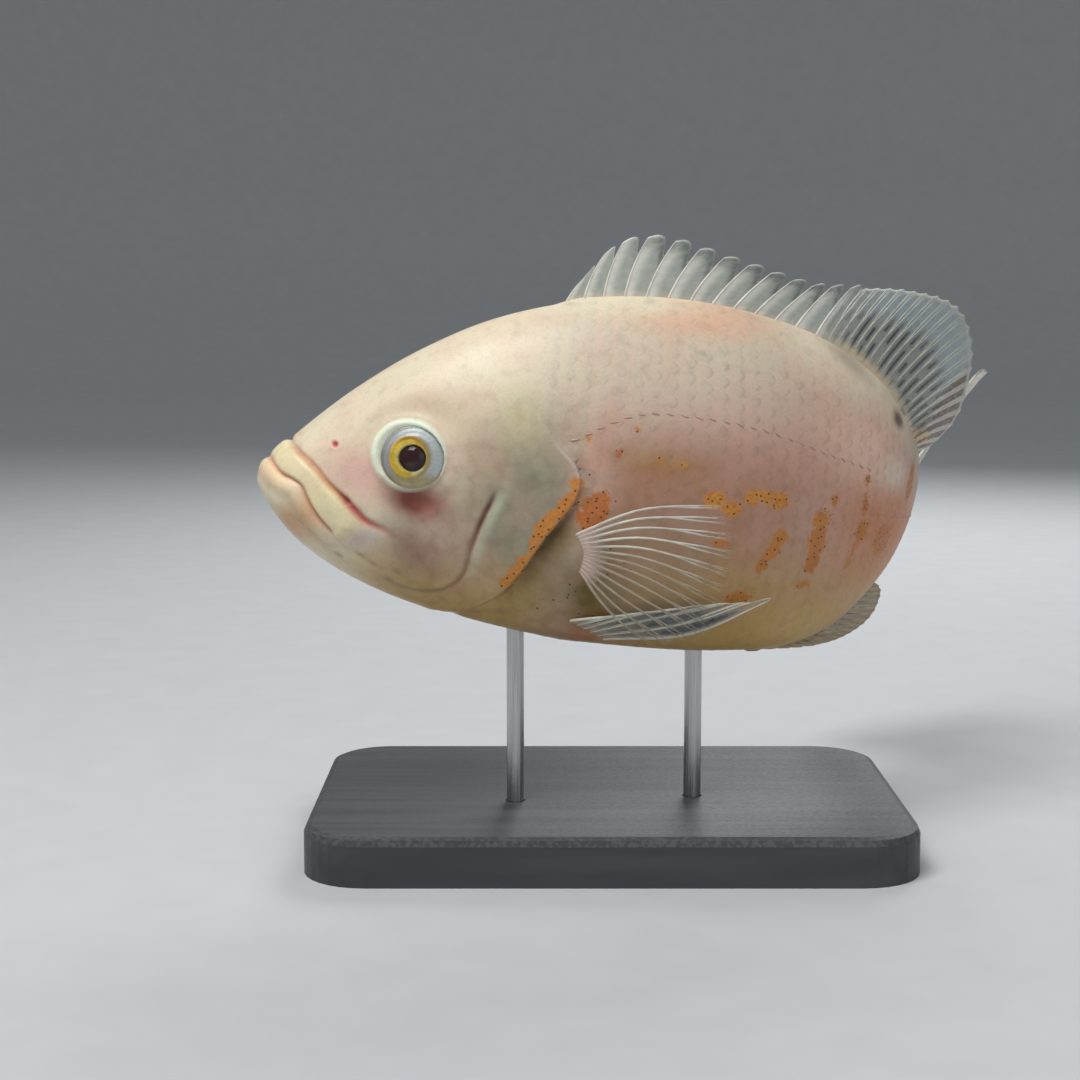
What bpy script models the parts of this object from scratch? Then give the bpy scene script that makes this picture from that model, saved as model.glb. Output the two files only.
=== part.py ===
"""A life-size museum model of a young adult oscar fish, held over a plain base by two rods.

The fish looks along -X with its left side to -Y. Its tail swings away to +Y, so the body is first shaped
along a straight line, from the snout backwards, and is then laid along a curved backbone.
Units are metres. The origin is the centre of the underside of the base, and +Z is up.
"""

import math

import bmesh
import bpy
import numpy as np
from mathutils import Matrix, Vector

# Driving dimensions
STANDARD_LENGTH = 0.200
GAP = 0.0003
MEMBRANE = 0.0006
MM = 0.001

# The curve of the backbone: where the bend starts, how far the tail has turned and how the tail leans.
# The fins of the middle line turn with it by the share FIN_FOLLOW.
BEND_START = 0.34 * STANDARD_LENGTH
BEND_TURN = math.radians(82)
BEND_POWER = 1.55
TWIST_START = 0.60 * STANDARD_LENGTH
TWIST_TURN = math.radians(15)
NOSE_UP = math.radians(6)
FIN_FOLLOW = 0.9

# The base and its rods. BALANCE is the distance from the snout that stands over the middle of the base,
# and the base is shifted BASE_SHIFT towards the side that the tail swings to.
BASE_LENGTH = 0.150
BASE_DEPTH = 0.100
BASE_HEIGHT = 0.012
BASE_CORNER = 0.016
BASE_EDGE = 0.002
BASE_SHIFT = 0.012
BALANCE = 0.46 * STANDARD_LENGTH
BELLY_HEIGHT = 0.040
ROD_RADIUS = 0.0022
ROD_STATIONS = {"stand_rod_front": 0.34 * STANDARD_LENGTH, "stand_rod_rear": 0.57 * STANDARD_LENGTH}
BELLY_SOCKET = 0.007
BASE_SOCKET = 0.006

# The body's sections: distance from the snout, height of the back and of the belly, half width,
# and the height of the widest level as a share of the depth. All but the last are shares of the length.
SECTIONS = np.array((
    (0.000, 0.000, 0.000, 0.000, 0.50),
    (0.010, 0.019, -0.022, 0.024, 0.50),
    (0.030, 0.042, -0.047, 0.044, 0.50),
    (0.060, 0.073, -0.075, 0.062, 0.49),
    (0.115, 0.123, -0.107, 0.080, 0.48),
    (0.190, 0.178, -0.134, 0.092, 0.47),
    (0.280, 0.226, -0.152, 0.102, 0.45),
    (0.380, 0.256, -0.163, 0.105, 0.43),
    (0.490, 0.267, -0.167, 0.100, 0.42),
    (0.600, 0.259, -0.165, 0.087, 0.43),
    (0.700, 0.236, -0.157, 0.069, 0.44),
    (0.790, 0.193, -0.137, 0.051, 0.46),
    (0.870, 0.138, -0.104, 0.037, 0.47),
    (0.940, 0.101, -0.085, 0.027, 0.48),
    (1.000, 0.088, -0.084, 0.018, 0.49),
))
# How full the upper and the lower half of a section are, on the head and on the trunk: 2 is an ellipse
UPPER_FULLNESS = (2.05, 1.80)
LOWER_FULLNESS = (2.10, 2.20)
HEAD_TO_TRUNK = (0.15 * STANDARD_LENGTH, 0.45 * STANDARD_LENGTH)
TAIL_STEM_START = 0.77 * STANDARD_LENGTH

# The head's lines in side view, as (distance from the snout, height), in millimetres
MOUTH_LINE = ((4.3, 4.4), (7.2, 2.1), (10.4, 1.1), (12.6, 0.0), (14.2, -2.6), (17.2, -6.8), (21.0, -10.2))
LIP_GROOVE = ((8.8, 9.0), (13.4, 6.2), (16.1, 4.2), (18.8, 1.6), (21.5, -0.5), (24.0, -2.4), (26.0, -4.1))
JAW_JOINT = (27.0, -24.0)
UPPER_LIP_CREST = ((4.8, 7.2), (8.2, 5.6), (12.0, 3.6), (15.2, 0.6), (18.4, -3.4), (21.6, -6.6), (24.0, -8.6))
LOWER_LIP_CREST = ((1.0, 1.4), (4.2, -0.2), (8.0, -2.0), (11.4, -5.2), (14.6, -9.2), (18.4, -12.4))
CHEEK_GROOVE = (
    (60.1, 4.6), (57.3, -2.7), (55.2, -10.5), (53.6, -17.1), (49.6, -21.4), (44.7, -22.6), (37.4, -21.8),
)
GILL_EDGE = (
    (66.0, 25.0), (70.6, 20.0), (74.6, 15.6), (78.0, 12.0), (79.2, 8.6), (78.6, 4.6),
    (76.5, 0.6), (73.4, -4.4), (70.2, -10.4), (67.2, -16.0), (63.8, -20.6), (58.6, -24.4),
)
EYE_CENTRE = (38.9, 10.0)
EYE_RADIUS = 7.7
EYE_DEPTH = 5.2
EYE_SINK = 2.3
NOSTRIL = (19.9, 10.9)
NOSTRIL_SIZE = (1.1, 1.2, 0.8)
GILL_COVER_INNER_FACE = 11.5
GILL_COVER_MARGIN = 0.9

# The head's relief, in millimetres: how high or deep each form is, and how wide
UPPER_LIP_RIDGE = (1.1, 2.0)
LOWER_LIP_RIDGE = (0.9, 1.9)
LIP_CREASE = (0.7, 1.5)
CHEEK_CREASE = (0.7, 1.8)
EYE_COLLAR = (1.3, 1.9)
EYE_DENT = (0.4, 3.0)

# The middle fins. Their rays are rooted at distances from the snout in millimetres, and their lean backwards
# from upright, in degrees, and their length, in millimetres, follow curves through a few of those distances.
DORSAL_SPINES = 13
DORSAL_SPINE_ROOTS = (72.3, 137.4)
DORSAL_SOFT_RAYS = 20
DORSAL_SOFT_ROOTS = (140.8, 186.0)
DORSAL_LEAN = (
    (72, 26), (78, 14), (96, 25), (112, 40), (125, 44), (138, 33), (150, 38), (162, 48), (172, 62), (186, 88),
)
DORSAL_LENGTH = (
    (72, 5.4), (76, 11.6), (82, 15.0), (104, 14.4), (126, 14.5), (138, 16.6),
    (150, 25.6), (162, 34.4), (174, 32.4), (182, 25.0), (186, 10.5),
)
ANAL_SPINES = 3
ANAL_SPINE_ROOTS = (136.0, 141.5)
ANAL_SOFT_RAYS = 14
ANAL_SOFT_ROOTS = (144.3, 180.0)
ANAL_LEAN = ((136, 84), (152, 86), (164, 92), (180, 104))
ANAL_LENGTH = ((136, 4.5), (142, 9.0), (156, 15.4), (169, 21.0), (176, 18.8), (180, 12.0))
CAUDAL_RAYS = 16
CAUDAL_RISE = (34, -34)
CAUDAL_HEADING = (64, 94)
CAUDAL_LENGTH = (0.049, 0.053)
CAUDAL_ROOT = 0.0155

# The paired fins: where the roots, the middles and the tips of the rays lie in side view, from the first ray
# to the last, in millimetres, and how far each stands off the skin
PECTORAL_RAYS = 14
PECTORAL_ROOTS = ((79.6, -3.6), (82.0, -9.6), (82.4, -16.4))
PECTORAL_MIDDLES = ((94.2, 2.0), (93.2, -6.2), (93.6, -13.6), (92.0, -19.4), (88.9, -23.8))
PECTORAL_TIPS = ((105.4, 7.4), (111.4, -2.4), (111.0, -12.6), (111.6, -22.0), (109.4, -27.8), (99.6, -30.8))
PECTORAL_STAND_OFF = (0.75, 4.5, 8.0)
PELVIC_RAYS = 6
PELVIC_ROOTS = ((89.0, -30.4), (80.6, -26.2))
PELVIC_MIDDLES = ((107.6, -26.9), (97.4, -22.4), (88.0, -23.8))
PELVIC_TIPS = ((123.5, -17.0), (110.4, -18.2), (95.4, -22.2))
PELVIC_STAND_OFF = (0.75, 2.6, 3.6)
FIN_ROOT_GAP = 1.6 * GAP

# How thick the rays of each fin are, and how many points each ray has
SPINE_THICKNESS = 0.0012
SOFT_THICKNESS = 0.0011
RAY_ROWS = 5

# How finely the body is divided: points down one side, and the distances between its rings, in millimetres
HALF_RING_POINTS = 23
RING_STEPS = ((0.25, 1.6, 0.65), (2.8, 29.0, 1.8), (30.4, 84.0, 2.6), (87.0, 198.0, 6.0))

PALE_SKIN = (0.80, 0.63, 0.48)
PINK_SKIN = (0.76, 0.56, 0.46)
LIP_SKIN = (0.82, 0.66, 0.52)
FIN_GREY = (0.62, 0.64, 0.60)
EYE_GOLD = (0.55, 0.42, 0.16)
STAND_GREY = (0.16, 0.17, 0.18)
STEEL = (0.62, 0.63, 0.64)
SKIN_ROUGHNESS = 0.42
FIN_ROUGHNESS = 0.35
EYE_ROUGHNESS = 0.15
PAINT_ROUGHNESS = 0.5
STEEL_ROUGHNESS = 0.3
SHARP_ANGLE = math.radians(40)


def clear_scene():
    for obj in list(bpy.data.objects):
        bpy.data.objects.remove(obj, do_unlink=True)


def make_material(name, colour, roughness, metallic=0.0):
    material = bpy.data.materials.new(name)
    material.use_nodes = True
    shader = material.node_tree.nodes["Principled BSDF"]
    shader.inputs["Base Color"].default_value = (*colour, 1.0)
    shader.inputs["Roughness"].default_value = roughness
    shader.inputs["Metallic"].default_value = metallic
    material.diffuse_color = (*colour, 1.0)
    return material


# Curves through named points

def hermite(knots, values, at):
    """A smooth curve through (knots, values), read at each place in at."""
    knots, values, at = (np.asarray(a, float) for a in (knots, values, at))
    slopes = np.gradient(values, knots)
    place = np.clip(np.searchsorted(knots, at, side="right") - 1, 0, len(knots) - 2)
    width = knots[place + 1] - knots[place]
    t = np.clip((at - knots[place]) / width, 0.0, 1.0)
    rise = (2 * t**3 - 3 * t**2 + 1) * values[place] + (3 * t**2 - 2 * t**3) * values[place + 1]
    lean = (t**3 - 2 * t**2 + t) * slopes[place] + (t**3 - t**2) * slopes[place + 1]
    return rise + lean * width


def smooth_path(points, count=40):
    """A flat list of points turned into a smooth path of count points, in metres."""
    points = np.asarray(points, float) * MM
    steps = np.hypot(*np.diff(points, axis=0).T)
    along = np.concatenate(([0.0], np.cumsum(steps)))
    at = np.linspace(0.0, along[-1], count)
    return np.stack([hermite(along, points[:, k], at) for k in (0, 1)], axis=1)


def path_distance(x, z, path):
    """How far each point (x, z) is from the path."""
    nearest = np.full(np.shape(x), np.inf)
    for (ax, az), (bx, bz) in zip(path[:-1], path[1:]):
        dx, dz = bx - ax, bz - az
        t = np.clip(((x - ax) * dx + (z - az) * dz) / (dx * dx + dz * dz), 0.0, 1.0)
        nearest = np.minimum(nearest, np.hypot(x - ax - t * dx, z - az - t * dz))
    return nearest


def smoothstep(low, high, value):
    t = np.clip((value - low) / (high - low), 0.0, 1.0)
    return t * t * (3 - 2 * t)


# The straight body

def section(along):
    """Back height, belly height, half width and widest level at distances along the body."""
    share = np.sqrt(np.clip(along / STANDARD_LENGTH, 0.0, 1.0))
    knots = np.sqrt(SECTIONS[:, 0])
    back, belly, half = (hermite(knots, SECTIONS[:, k], share) * STANDARD_LENGTH for k in (1, 2, 3))
    level = belly + (back - belly) * hermite(knots, SECTIONS[:, 4], share)
    return back, belly, half, level


def half_ring(along, count):
    """Points (y, z) down one side of the body at one station, evenly spaced from the back to the belly."""
    back, belly, half, level = (float(v) for v in section(np.array(along)))
    trunk = float(smoothstep(*HEAD_TO_TRUNK, along))
    upper, lower = (np.interp(trunk, (0.0, 1.0), fullness) for fullness in (UPPER_FULLNESS, LOWER_FULLNESS))
    angle = np.linspace(math.pi / 2, -math.pi / 2, 241)
    power = 2.0 / np.where(angle > 0, upper, lower)
    reach = np.where(angle > 0, back - level, level - belly)
    y = half * np.abs(np.cos(angle)) ** power
    z = level + reach * np.sign(angle) * np.abs(np.sin(angle)) ** power
    walked = np.concatenate(([0.0], np.cumsum(np.hypot(np.diff(y), np.diff(z)))))
    at = np.linspace(0.0, walked[-1], count)
    y = np.interp(at, walked, y)
    y[[0, -1]] = 0.0
    return y, np.interp(at, walked, z)


def flank(along, height):
    """The half width of the plain body at a distance from the snout and a height."""
    y, z = half_ring(along, 161)
    return float(np.interp(height, z[::-1], y[::-1]))


def relief(x, z):
    """How far the head's broad forms stand out from the plain body, at points in side view."""
    def ridge(path, form):
        height, width = form
        return height * np.exp(-(path_distance(x, z, smooth_path(path, 16)) / (width * MM)) ** 2)

    def ring(radius, form):
        height, width = form
        from_eye = np.hypot(x - EYE_CENTRE[0] * MM, z - EYE_CENTRE[1] * MM) / MM
        return height * np.exp(-((from_eye - radius) / width) ** 2)

    lips = ridge(UPPER_LIP_CREST, UPPER_LIP_RIDGE) + ridge(LOWER_LIP_CREST, LOWER_LIP_RIDGE)
    creases = ridge(LIP_GROOVE, LIP_CREASE) + ridge(CHEEK_GROOVE, CHEEK_CREASE)
    around_eye = ring(EYE_RADIUS + 0.6, EYE_COLLAR) - ring(EYE_RADIUS + 6.0, EYE_DENT)
    return (lips - creases + around_eye) * MM


def straight_body(stations, half_count):
    """The whole body as a grid of rings, an array (rings, points around, 3), with the head's relief on it."""
    rings = []
    for along in stations:
        y, z = half_ring(along, half_count)
        left = np.stack([np.full(half_count, along), -y, z], axis=1)
        right = left[-2:0:-1] * (1, -1, 1)
        rings.append(np.concatenate([left, right]))
    grid = np.array(rings)
    lengthwise = np.gradient(grid, axis=0)
    around = np.roll(grid, -1, axis=1) - np.roll(grid, 1, axis=1)
    normal = np.cross(around, lengthwise)
    normal /= np.linalg.norm(normal, axis=2, keepdims=True)
    return grid + normal * relief(grid[..., 0], grid[..., 2])[..., None]


# The backbone

def heading(along):
    """How far the backbone has turned towards +Y at a distance from the snout."""
    t = np.clip((along - BEND_START) / (STANDARD_LENGTH - BEND_START), 0.0, None)
    return BEND_TURN * t**BEND_POWER


BACKBONE_STEPS = np.linspace(0.0, 1.5 * STANDARD_LENGTH, 1501)


def backbone(along):
    """The point of the backbone at each distance from the snout, as x and y."""
    step = BACKBONE_STEPS[1]
    middle = heading(BACKBONE_STEPS[:-1] + step / 2)
    x = np.concatenate(([0.0], np.cumsum(np.cos(middle)) * step))
    y = np.concatenate(([0.0], np.cumsum(np.sin(middle)) * step))
    before = np.minimum(along, 0.0)
    return np.interp(along, BACKBONE_STEPS, x) + before, np.interp(along, BACKBONE_STEPS, y)


def body_axes(along):
    """The local directions backwards, to the fish's left and upwards, each an array (..., 3)."""
    turn = heading(along)
    lean = TWIST_TURN * smoothstep(TWIST_START, STANDARD_LENGTH, along)
    flat = np.zeros_like(turn)
    back = np.stack([np.cos(turn), np.sin(turn), flat], axis=-1)
    left = np.stack([np.sin(turn), -np.cos(turn), flat], axis=-1)
    up = np.stack([flat, flat, np.ones_like(turn)], axis=-1)
    cos, sin = np.cos(lean)[..., None], np.sin(lean)[..., None]
    return back, cos * left - sin * up, cos * up + sin * left


def bend(points):
    """Lays points of the straight fish along the backbone."""
    points = np.asarray(points, float)
    x, y = backbone(points[..., 0])
    _, left, up = body_axes(points[..., 0])
    middle = np.stack([x, y, np.zeros_like(x)], axis=-1)
    return middle - left * points[..., 1:2] + up * points[..., 2:3]


def fish_pose():
    """The matrix from the fish's own frame to the world: nose up, and its belly over the base."""
    x, y = (float(v) for v in backbone(np.array(BALANCE)))
    belly = float(section(np.array(BALANCE))[1])
    turn = Matrix.Rotation(NOSE_UP, 4, "Y")
    centre = Vector((x, y + BASE_SHIFT, belly))
    return Matrix.Translation((0, 0, BASE_HEIGHT + BELLY_HEIGHT)) @ turn @ Matrix.Translation(-centre)


# Meshes

def mesh_object(name, points, faces, material, collection):
    mesh = bpy.data.meshes.new(name)
    mesh.from_pydata([tuple(p) for p in points], [], faces)
    mesh.materials.append(material)
    obj = bpy.data.objects.new(name, mesh)
    collection.objects.link(obj)
    recalculate(obj)
    return obj


def recalculate(obj):
    edit = bmesh.new()
    edit.from_mesh(obj.data)
    bmesh.ops.recalc_face_normals(edit, faces=edit.faces)
    edit.to_mesh(obj.data)
    edit.free()


def grid_faces(rows, columns, wrap):
    """Quads between the points of a grid that is numbered row by row."""
    faces = []
    for r in range(rows - 1):
        for c in range(columns if wrap else columns - 1):
            d = (c + 1) % columns
            faces.append((r * columns + c, r * columns + d, (r + 1) * columns + d, (r + 1) * columns + c))
    return faces


def body_mesh(name, material, collection):
    """The straight body as one closed mesh."""
    stations = np.concatenate([np.arange(*steps) for steps in RING_STEPS] + [[STANDARD_LENGTH / MM]]) * MM
    grid = straight_body(stations, HALF_RING_POINTS)
    rings, around = grid.shape[:2]
    points = grid.reshape(-1, 3)
    tip = np.array([[stations[0] - 0.35 * MM, 0.0, grid[0, :, 2].mean()]])
    faces = grid_faces(rings, around, True)
    faces += [(c, (c + 1) % around, rings * around) for c in range(around)]
    faces.append(tuple(range((rings - 1) * around, rings * around)))
    return mesh_object(name, np.concatenate([points, tip]), faces, material, collection)


def apply_boolean(target, cutter, operation):
    """Joins, cuts or crosses target with cutter, and keeps the result in target."""
    modifier = target.modifiers.new("boolean", "BOOLEAN")
    modifier.object = cutter
    modifier.operation = operation
    modifier.solver = "EXACT"
    graph = bpy.context.evaluated_depsgraph_get()
    result = bpy.data.meshes.new_from_object(target.evaluated_get(graph))
    target.modifiers.remove(modifier)
    target.data = result
    return target


def duplicate(obj, name, collection):
    copy = obj.copy()
    copy.data = obj.data.copy()
    copy.name = name
    collection.objects.link(copy)
    return copy


def discard(*objects):
    for obj in objects:
        bpy.data.objects.remove(obj, do_unlink=True)


def reshape(obj, change):
    """Triangulates a mesh and moves each of its points by change, a function on an array of points."""
    edit = bmesh.new()
    edit.from_mesh(obj.data)
    bmesh.ops.triangulate(edit, faces=edit.faces)
    edit.to_mesh(obj.data)
    edit.free()
    points = np.empty(len(obj.data.vertices) * 3)
    obj.data.vertices.foreach_get("co", points)
    obj.data.vertices.foreach_set("co", change(points.reshape(-1, 3)).ravel())
    obj.data.update()


def largest_piece(obj):
    """Keeps only the largest closed surface of a mesh."""
    edit = bmesh.new()
    edit.from_mesh(obj.data)
    edit.verts.ensure_lookup_table()
    unseen = set(range(len(edit.verts)))
    groups = []
    while unseen:
        front = [unseen.pop()]
        group = set(front)
        while front:
            for edge in edit.verts[front.pop()].link_edges:
                for vert in edge.verts:
                    if vert.index in unseen:
                        unseen.discard(vert.index)
                        group.add(vert.index)
                        front.append(vert.index)
        groups.append(group)
    keep = max(groups, key=len)
    bmesh.ops.delete(edit, geom=[v for v in edit.verts if v.index not in keep], context="VERTS")
    edit.to_mesh(obj.data)
    edit.free()


def cutter(name, outline, low, high, collection):
    """A closed block: a flat outline in side view, in metres, extruded from y = low to y = high."""
    edit = bmesh.new()
    face = edit.faces.new([edit.verts.new((x, low, z)) for x, z in outline])
    extruded = bmesh.ops.extrude_face_region(edit, geom=[face], use_keep_orig=True)["geom"]
    raised = [item for item in extruded if isinstance(item, bmesh.types.BMVert)]
    bmesh.ops.translate(edit, vec=(0, high - low, 0), verts=raised)
    bmesh.ops.recalc_face_normals(edit, faces=edit.faces)
    mesh = bpy.data.meshes.new(name)
    edit.to_mesh(mesh)
    edit.free()
    block = bpy.data.objects.new(name, mesh)
    block.hide_render = True
    block.display_type = "WIRE"
    collection.objects.link(block)
    return block


def offset_path(path, distance):
    """The path moved sideways by distance."""
    along = np.gradient(path, axis=0)
    along /= np.linalg.norm(along, axis=1, keepdims=True)
    return path + distance * np.stack([-along[:, 1], along[:, 0]], axis=1)


# Fins

def read_curve(knots, at):
    """A smooth curve through knots of (place, value), read at each place in at."""
    places, values = zip(*knots)
    return hermite(places, values, at)


def middle_fin_rays(roots, leans, lengths, side, rows):
    """Ray lines of a fin on the body's middle line; side is +1 along the back and -1 along the belly."""
    rays = []
    for along, lean, length in zip(roots, read_curve(leans, roots), read_curve(lengths, roots)):
        root_at = np.array(along * MM)
        back_height, belly_height, _, _ = section(root_at)
        height = float(back_height if side > 0 else belly_height) + side * FIN_ROOT_GAP
        root = bend(np.array([along * MM, 0.0, height]))
        turn = float(heading(root_at)) * FIN_FOLLOW
        backwards = np.array([math.cos(turn), math.sin(turn), 0.0])
        upwards = body_axes(root_at)[2]
        direction = backwards * math.sin(math.radians(lean)) + side * upwards * math.cos(math.radians(lean))
        rays.append(ray_line(root, direction, length * MM, rows))
    return rays


def dorsal_rays(rows):
    share = np.linspace(0.0, 1.0, DORSAL_SPINES)
    spines = DORSAL_SPINE_ROOTS[0] + (DORSAL_SPINE_ROOTS[1] - DORSAL_SPINE_ROOTS[0]) * share**1.1
    roots = np.concatenate([spines, np.linspace(*DORSAL_SOFT_ROOTS, DORSAL_SOFT_RAYS)])
    return middle_fin_rays(roots, DORSAL_LEAN, DORSAL_LENGTH, 1, rows)


def anal_rays(rows):
    spines = np.linspace(*ANAL_SPINE_ROOTS, ANAL_SPINES)
    roots = np.concatenate([spines, np.linspace(*ANAL_SOFT_ROOTS, ANAL_SOFT_RAYS)])
    return middle_fin_rays(roots, ANAL_LEAN, ANAL_LENGTH, -1, rows)


def caudal_rays(rows):
    """Ray lines of the tail fin, fanned from its upper corner to its lower one."""
    rays = []
    upwards = body_axes(np.array(STANDARD_LENGTH))[2]
    for share in np.linspace(0.0, 1.0, CAUDAL_RAYS):
        rise = math.radians(CAUDAL_RISE[0] + (CAUDAL_RISE[1] - CAUDAL_RISE[0]) * share)
        turn = math.radians(CAUDAL_HEADING[0] + (CAUDAL_HEADING[1] - CAUDAL_HEADING[0]) * share)
        length = CAUDAL_LENGTH[0] + (CAUDAL_LENGTH[1] - CAUDAL_LENGTH[0]) * math.sin(math.pi * share)
        root = bend(np.array([STANDARD_LENGTH + 2 * FIN_ROOT_GAP, 0.0, CAUDAL_ROOT * (1 - 2 * share)]))
        ahead = np.array([math.cos(turn), math.sin(turn), 0.0])
        direction = ahead * math.cos(rise) + upwards * math.sin(rise)
        rays.append(ray_line(root, direction, length, rows))
    return rays


def paired_fin_rays(count, levels, stand_off, side, rows):
    """Ray lines of a paired fin; side is -1 for the fish's left and +1 for its right.

    levels holds the roots, middles and tips in side view, and stand_off how far each is off the skin.
    """
    shares = np.linspace(0.0, 1.0, count)
    places = []
    for points, off in zip(levels, stand_off):
        points = np.array(points) * MM
        at = np.linspace(0.0, 1.0, len(points))
        along, height = (hermite(at, points[:, k], shares) for k in (0, 1))
        out = [flank(a, z) + off * MM for a, z in zip(along, height)]
        places.append(np.stack([along, side * np.array(out), height], axis=1))
    rays = []
    for knots in np.array(places).transpose(1, 0, 2):
        line = [hermite((0.0, 1.0, 2.0), knots[:, k], np.linspace(0.0, 2.0, rows)) for k in range(3)]
        rays.append(bend(np.stack(line, axis=1)))
    return rays


def ray_line(root, direction, length, rows):
    """A straight ray from root along direction."""
    return np.asarray(root) + np.asarray(direction) * length * np.linspace(0.0, 1.0, rows)[:, None]


def lappets(rays, spines, soft_rise):
    """All the columns of a fin: its rays, and the membrane between them.

    Behind each spine the membrane stands up in a lobe and then dips to the next spine. Between soft rays
    it dips only by soft_rise. Returns the columns and a list that tells which of them are rays.
    """
    columns, is_ray = [], []
    for k, ray in enumerate(rays):
        columns.append(ray)
        is_ray.append(True)
        if k == len(rays) - 1:
            break
        behind = rays[k + 1]
        spiny = k < spines
        for share, reach in ((0.42, 1.04), (0.84, 0.74)) if spiny else ((0.34, soft_rise), (0.66, soft_rise)):
            line = ray * (1 - share) + behind * share
            columns.append(line[0] + (line - line[0]) * reach)
            is_ray.append(False)
    return np.array(columns), is_ray


def fin_object(name, rays, ridge, material, collection, spines=0, soft_rise=0.97):
    """A closed fin: each ray is a ridge on both faces, and both faces are split into triangles alike."""
    middle, is_ray = lappets(rays, spines, soft_rise)
    columns, rows = middle.shape[:2]
    along_ray = np.linspace(0.0, 1.0, rows)
    swell = np.minimum(along_ray / 0.2, 1.0) * (1.0 - along_ray)
    ridge_half = MEMBRANE / 2 + (ridge - MEMBRANE) * 0.5 * swell / 0.8
    half = np.array([ridge_half if ray else np.full(rows, MEMBRANE / 2) for ray in is_ray])
    across = np.gradient(middle, axis=0)
    along = np.gradient(middle, axis=1)
    normal = np.cross(across, along)
    normal /= np.maximum(np.linalg.norm(normal, axis=2, keepdims=True), 1e-12)
    count = columns * rows
    faces = []
    for c in range(columns - 1):
        for r in range(rows - 1):
            a, b = c * rows + r, c * rows + r + 1
            d, e = a + rows, b + rows
            faces += [(a, b, e), (a, e, d)]
            faces += [(count + a, count + e, count + b), (count + a, count + d, count + e)]
    rim = [c * rows for c in range(columns)] + [(columns - 1) * rows + r for r in range(1, rows)]
    rim += [c * rows + rows - 1 for c in range(columns - 2, -1, -1)] + list(range(rows - 2, 0, -1))
    for k, a in enumerate(rim):
        b = rim[(k + 1) % len(rim)]
        faces += [(a, b, count + b), (a, count + b, count + a)]
    offset = normal * half[..., None]
    points = np.concatenate([(middle + offset).reshape(-1, 3), (middle - offset).reshape(-1, 3)])
    return mesh_object(name, points, faces, material, collection)


# The build

def flank_frame(along, height, side):
    """The point on the skin at (along, height) on one side, and the directions outwards, forwards and up."""
    step = 0.8 * MM
    width = flank(along, height)
    slope_along = (flank(along + step, height) - flank(along - step, height)) / (2 * step)
    slope_up = (flank(along, height + step) - flank(along, height - step)) / (2 * step)
    outwards = Vector((-slope_along, side, -slope_up)).normalized()
    forwards = (Vector((-1, 0, 0)) + outwards * outwards.x).normalized()
    return Vector((along, side * width, height)), outwards, forwards, outwards.cross(forwards)


def placed(origin, outwards, forwards, upwards):
    """A matrix whose X looks forwards, Y outwards and Z up, at origin."""
    turn = Matrix((forwards, outwards, upwards)).transposed().to_4x4()
    return Matrix.Translation(origin) @ turn


def primitive(name, add, material, collection, **options):
    """Runs a mesh primitive operator and takes its object into the collection."""
    add(**options)
    obj = bpy.context.object
    obj.name = name
    for owner in list(obj.users_collection):
        owner.objects.unlink(obj)
    collection.objects.link(obj)
    if material:
        obj.data.materials.append(material)
    return obj


def eyeball(name, side, grow, material, collection):
    """A flattened ball set in the side of the head."""
    add_ball = bpy.ops.mesh.primitive_uv_sphere_add
    ball = primitive(name, add_ball, material, collection, segments=20, ring_count=12)
    at, outwards, forwards, upwards = flank_frame(EYE_CENTRE[0] * MM, EYE_CENTRE[1] * MM, side)
    matrix = placed(at - outwards * EYE_SINK * MM, outwards, forwards, upwards)
    radius, depth = EYE_RADIUS * MM + grow, EYE_DEPTH * MM + grow
    ball.data.transform(matrix @ Matrix.Diagonal((radius, depth, radius, 1.0)))
    recalculate(ball)
    return ball


def nostril_cutter(side, collection):
    add_ball = bpy.ops.mesh.primitive_uv_sphere_add
    pit = primitive("nostril", add_ball, None, collection, segments=12, ring_count=8)
    size = Vector(NOSTRIL_SIZE) * MM
    matrix = placed(*flank_frame(NOSTRIL[0] * MM, NOSTRIL[1] * MM, side))
    pit.data.transform(matrix @ Matrix.Diagonal((*size, 1.0)))
    recalculate(pit)
    return pit


def part_body(whole, skin, model, tools):
    """Parts the whole body into its nodes with cuts one gap wide."""
    wide, deep, far = 0.04, -0.06, 0.3

    def cut_out(source, block, name):
        piece = duplicate(source, name, model)
        apply_boolean(piece, block, "INTERSECT")
        piece.data.materials.clear()
        piece.data.materials.append(skin[name])
        for face in piece.data.polygons:
            face.material_index = 0
        return piece

    neck = smooth_path(((60.0, 60.0), (62.0, 40.0)) + GILL_EDGE + ((52.0, -30.0), (46.0, -44.0)), 44)
    stem, above = TAIL_STEM_START, 0.07
    outlines = {
        "head": [*offset_path(neck, -GAP / 2), (-0.02, -0.044), (-0.02, 0.06)],
        "trunk": [*offset_path(neck, GAP / 2), (stem, deep), (stem, above)],
        "tail_stem": [(stem + GAP, deep), (far, deep), (far, above), (stem + GAP, above)],
    }
    pieces = {}
    for name, outline in outlines.items():
        pieces[name] = cut_out(whole, cutter(name + "_block", outline, -wide, wide, tools), name)
    part_mouth(pieces, cut_out, wide, tools)
    part_gill_covers(pieces, cut_out, wide, tools)
    return pieces


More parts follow.
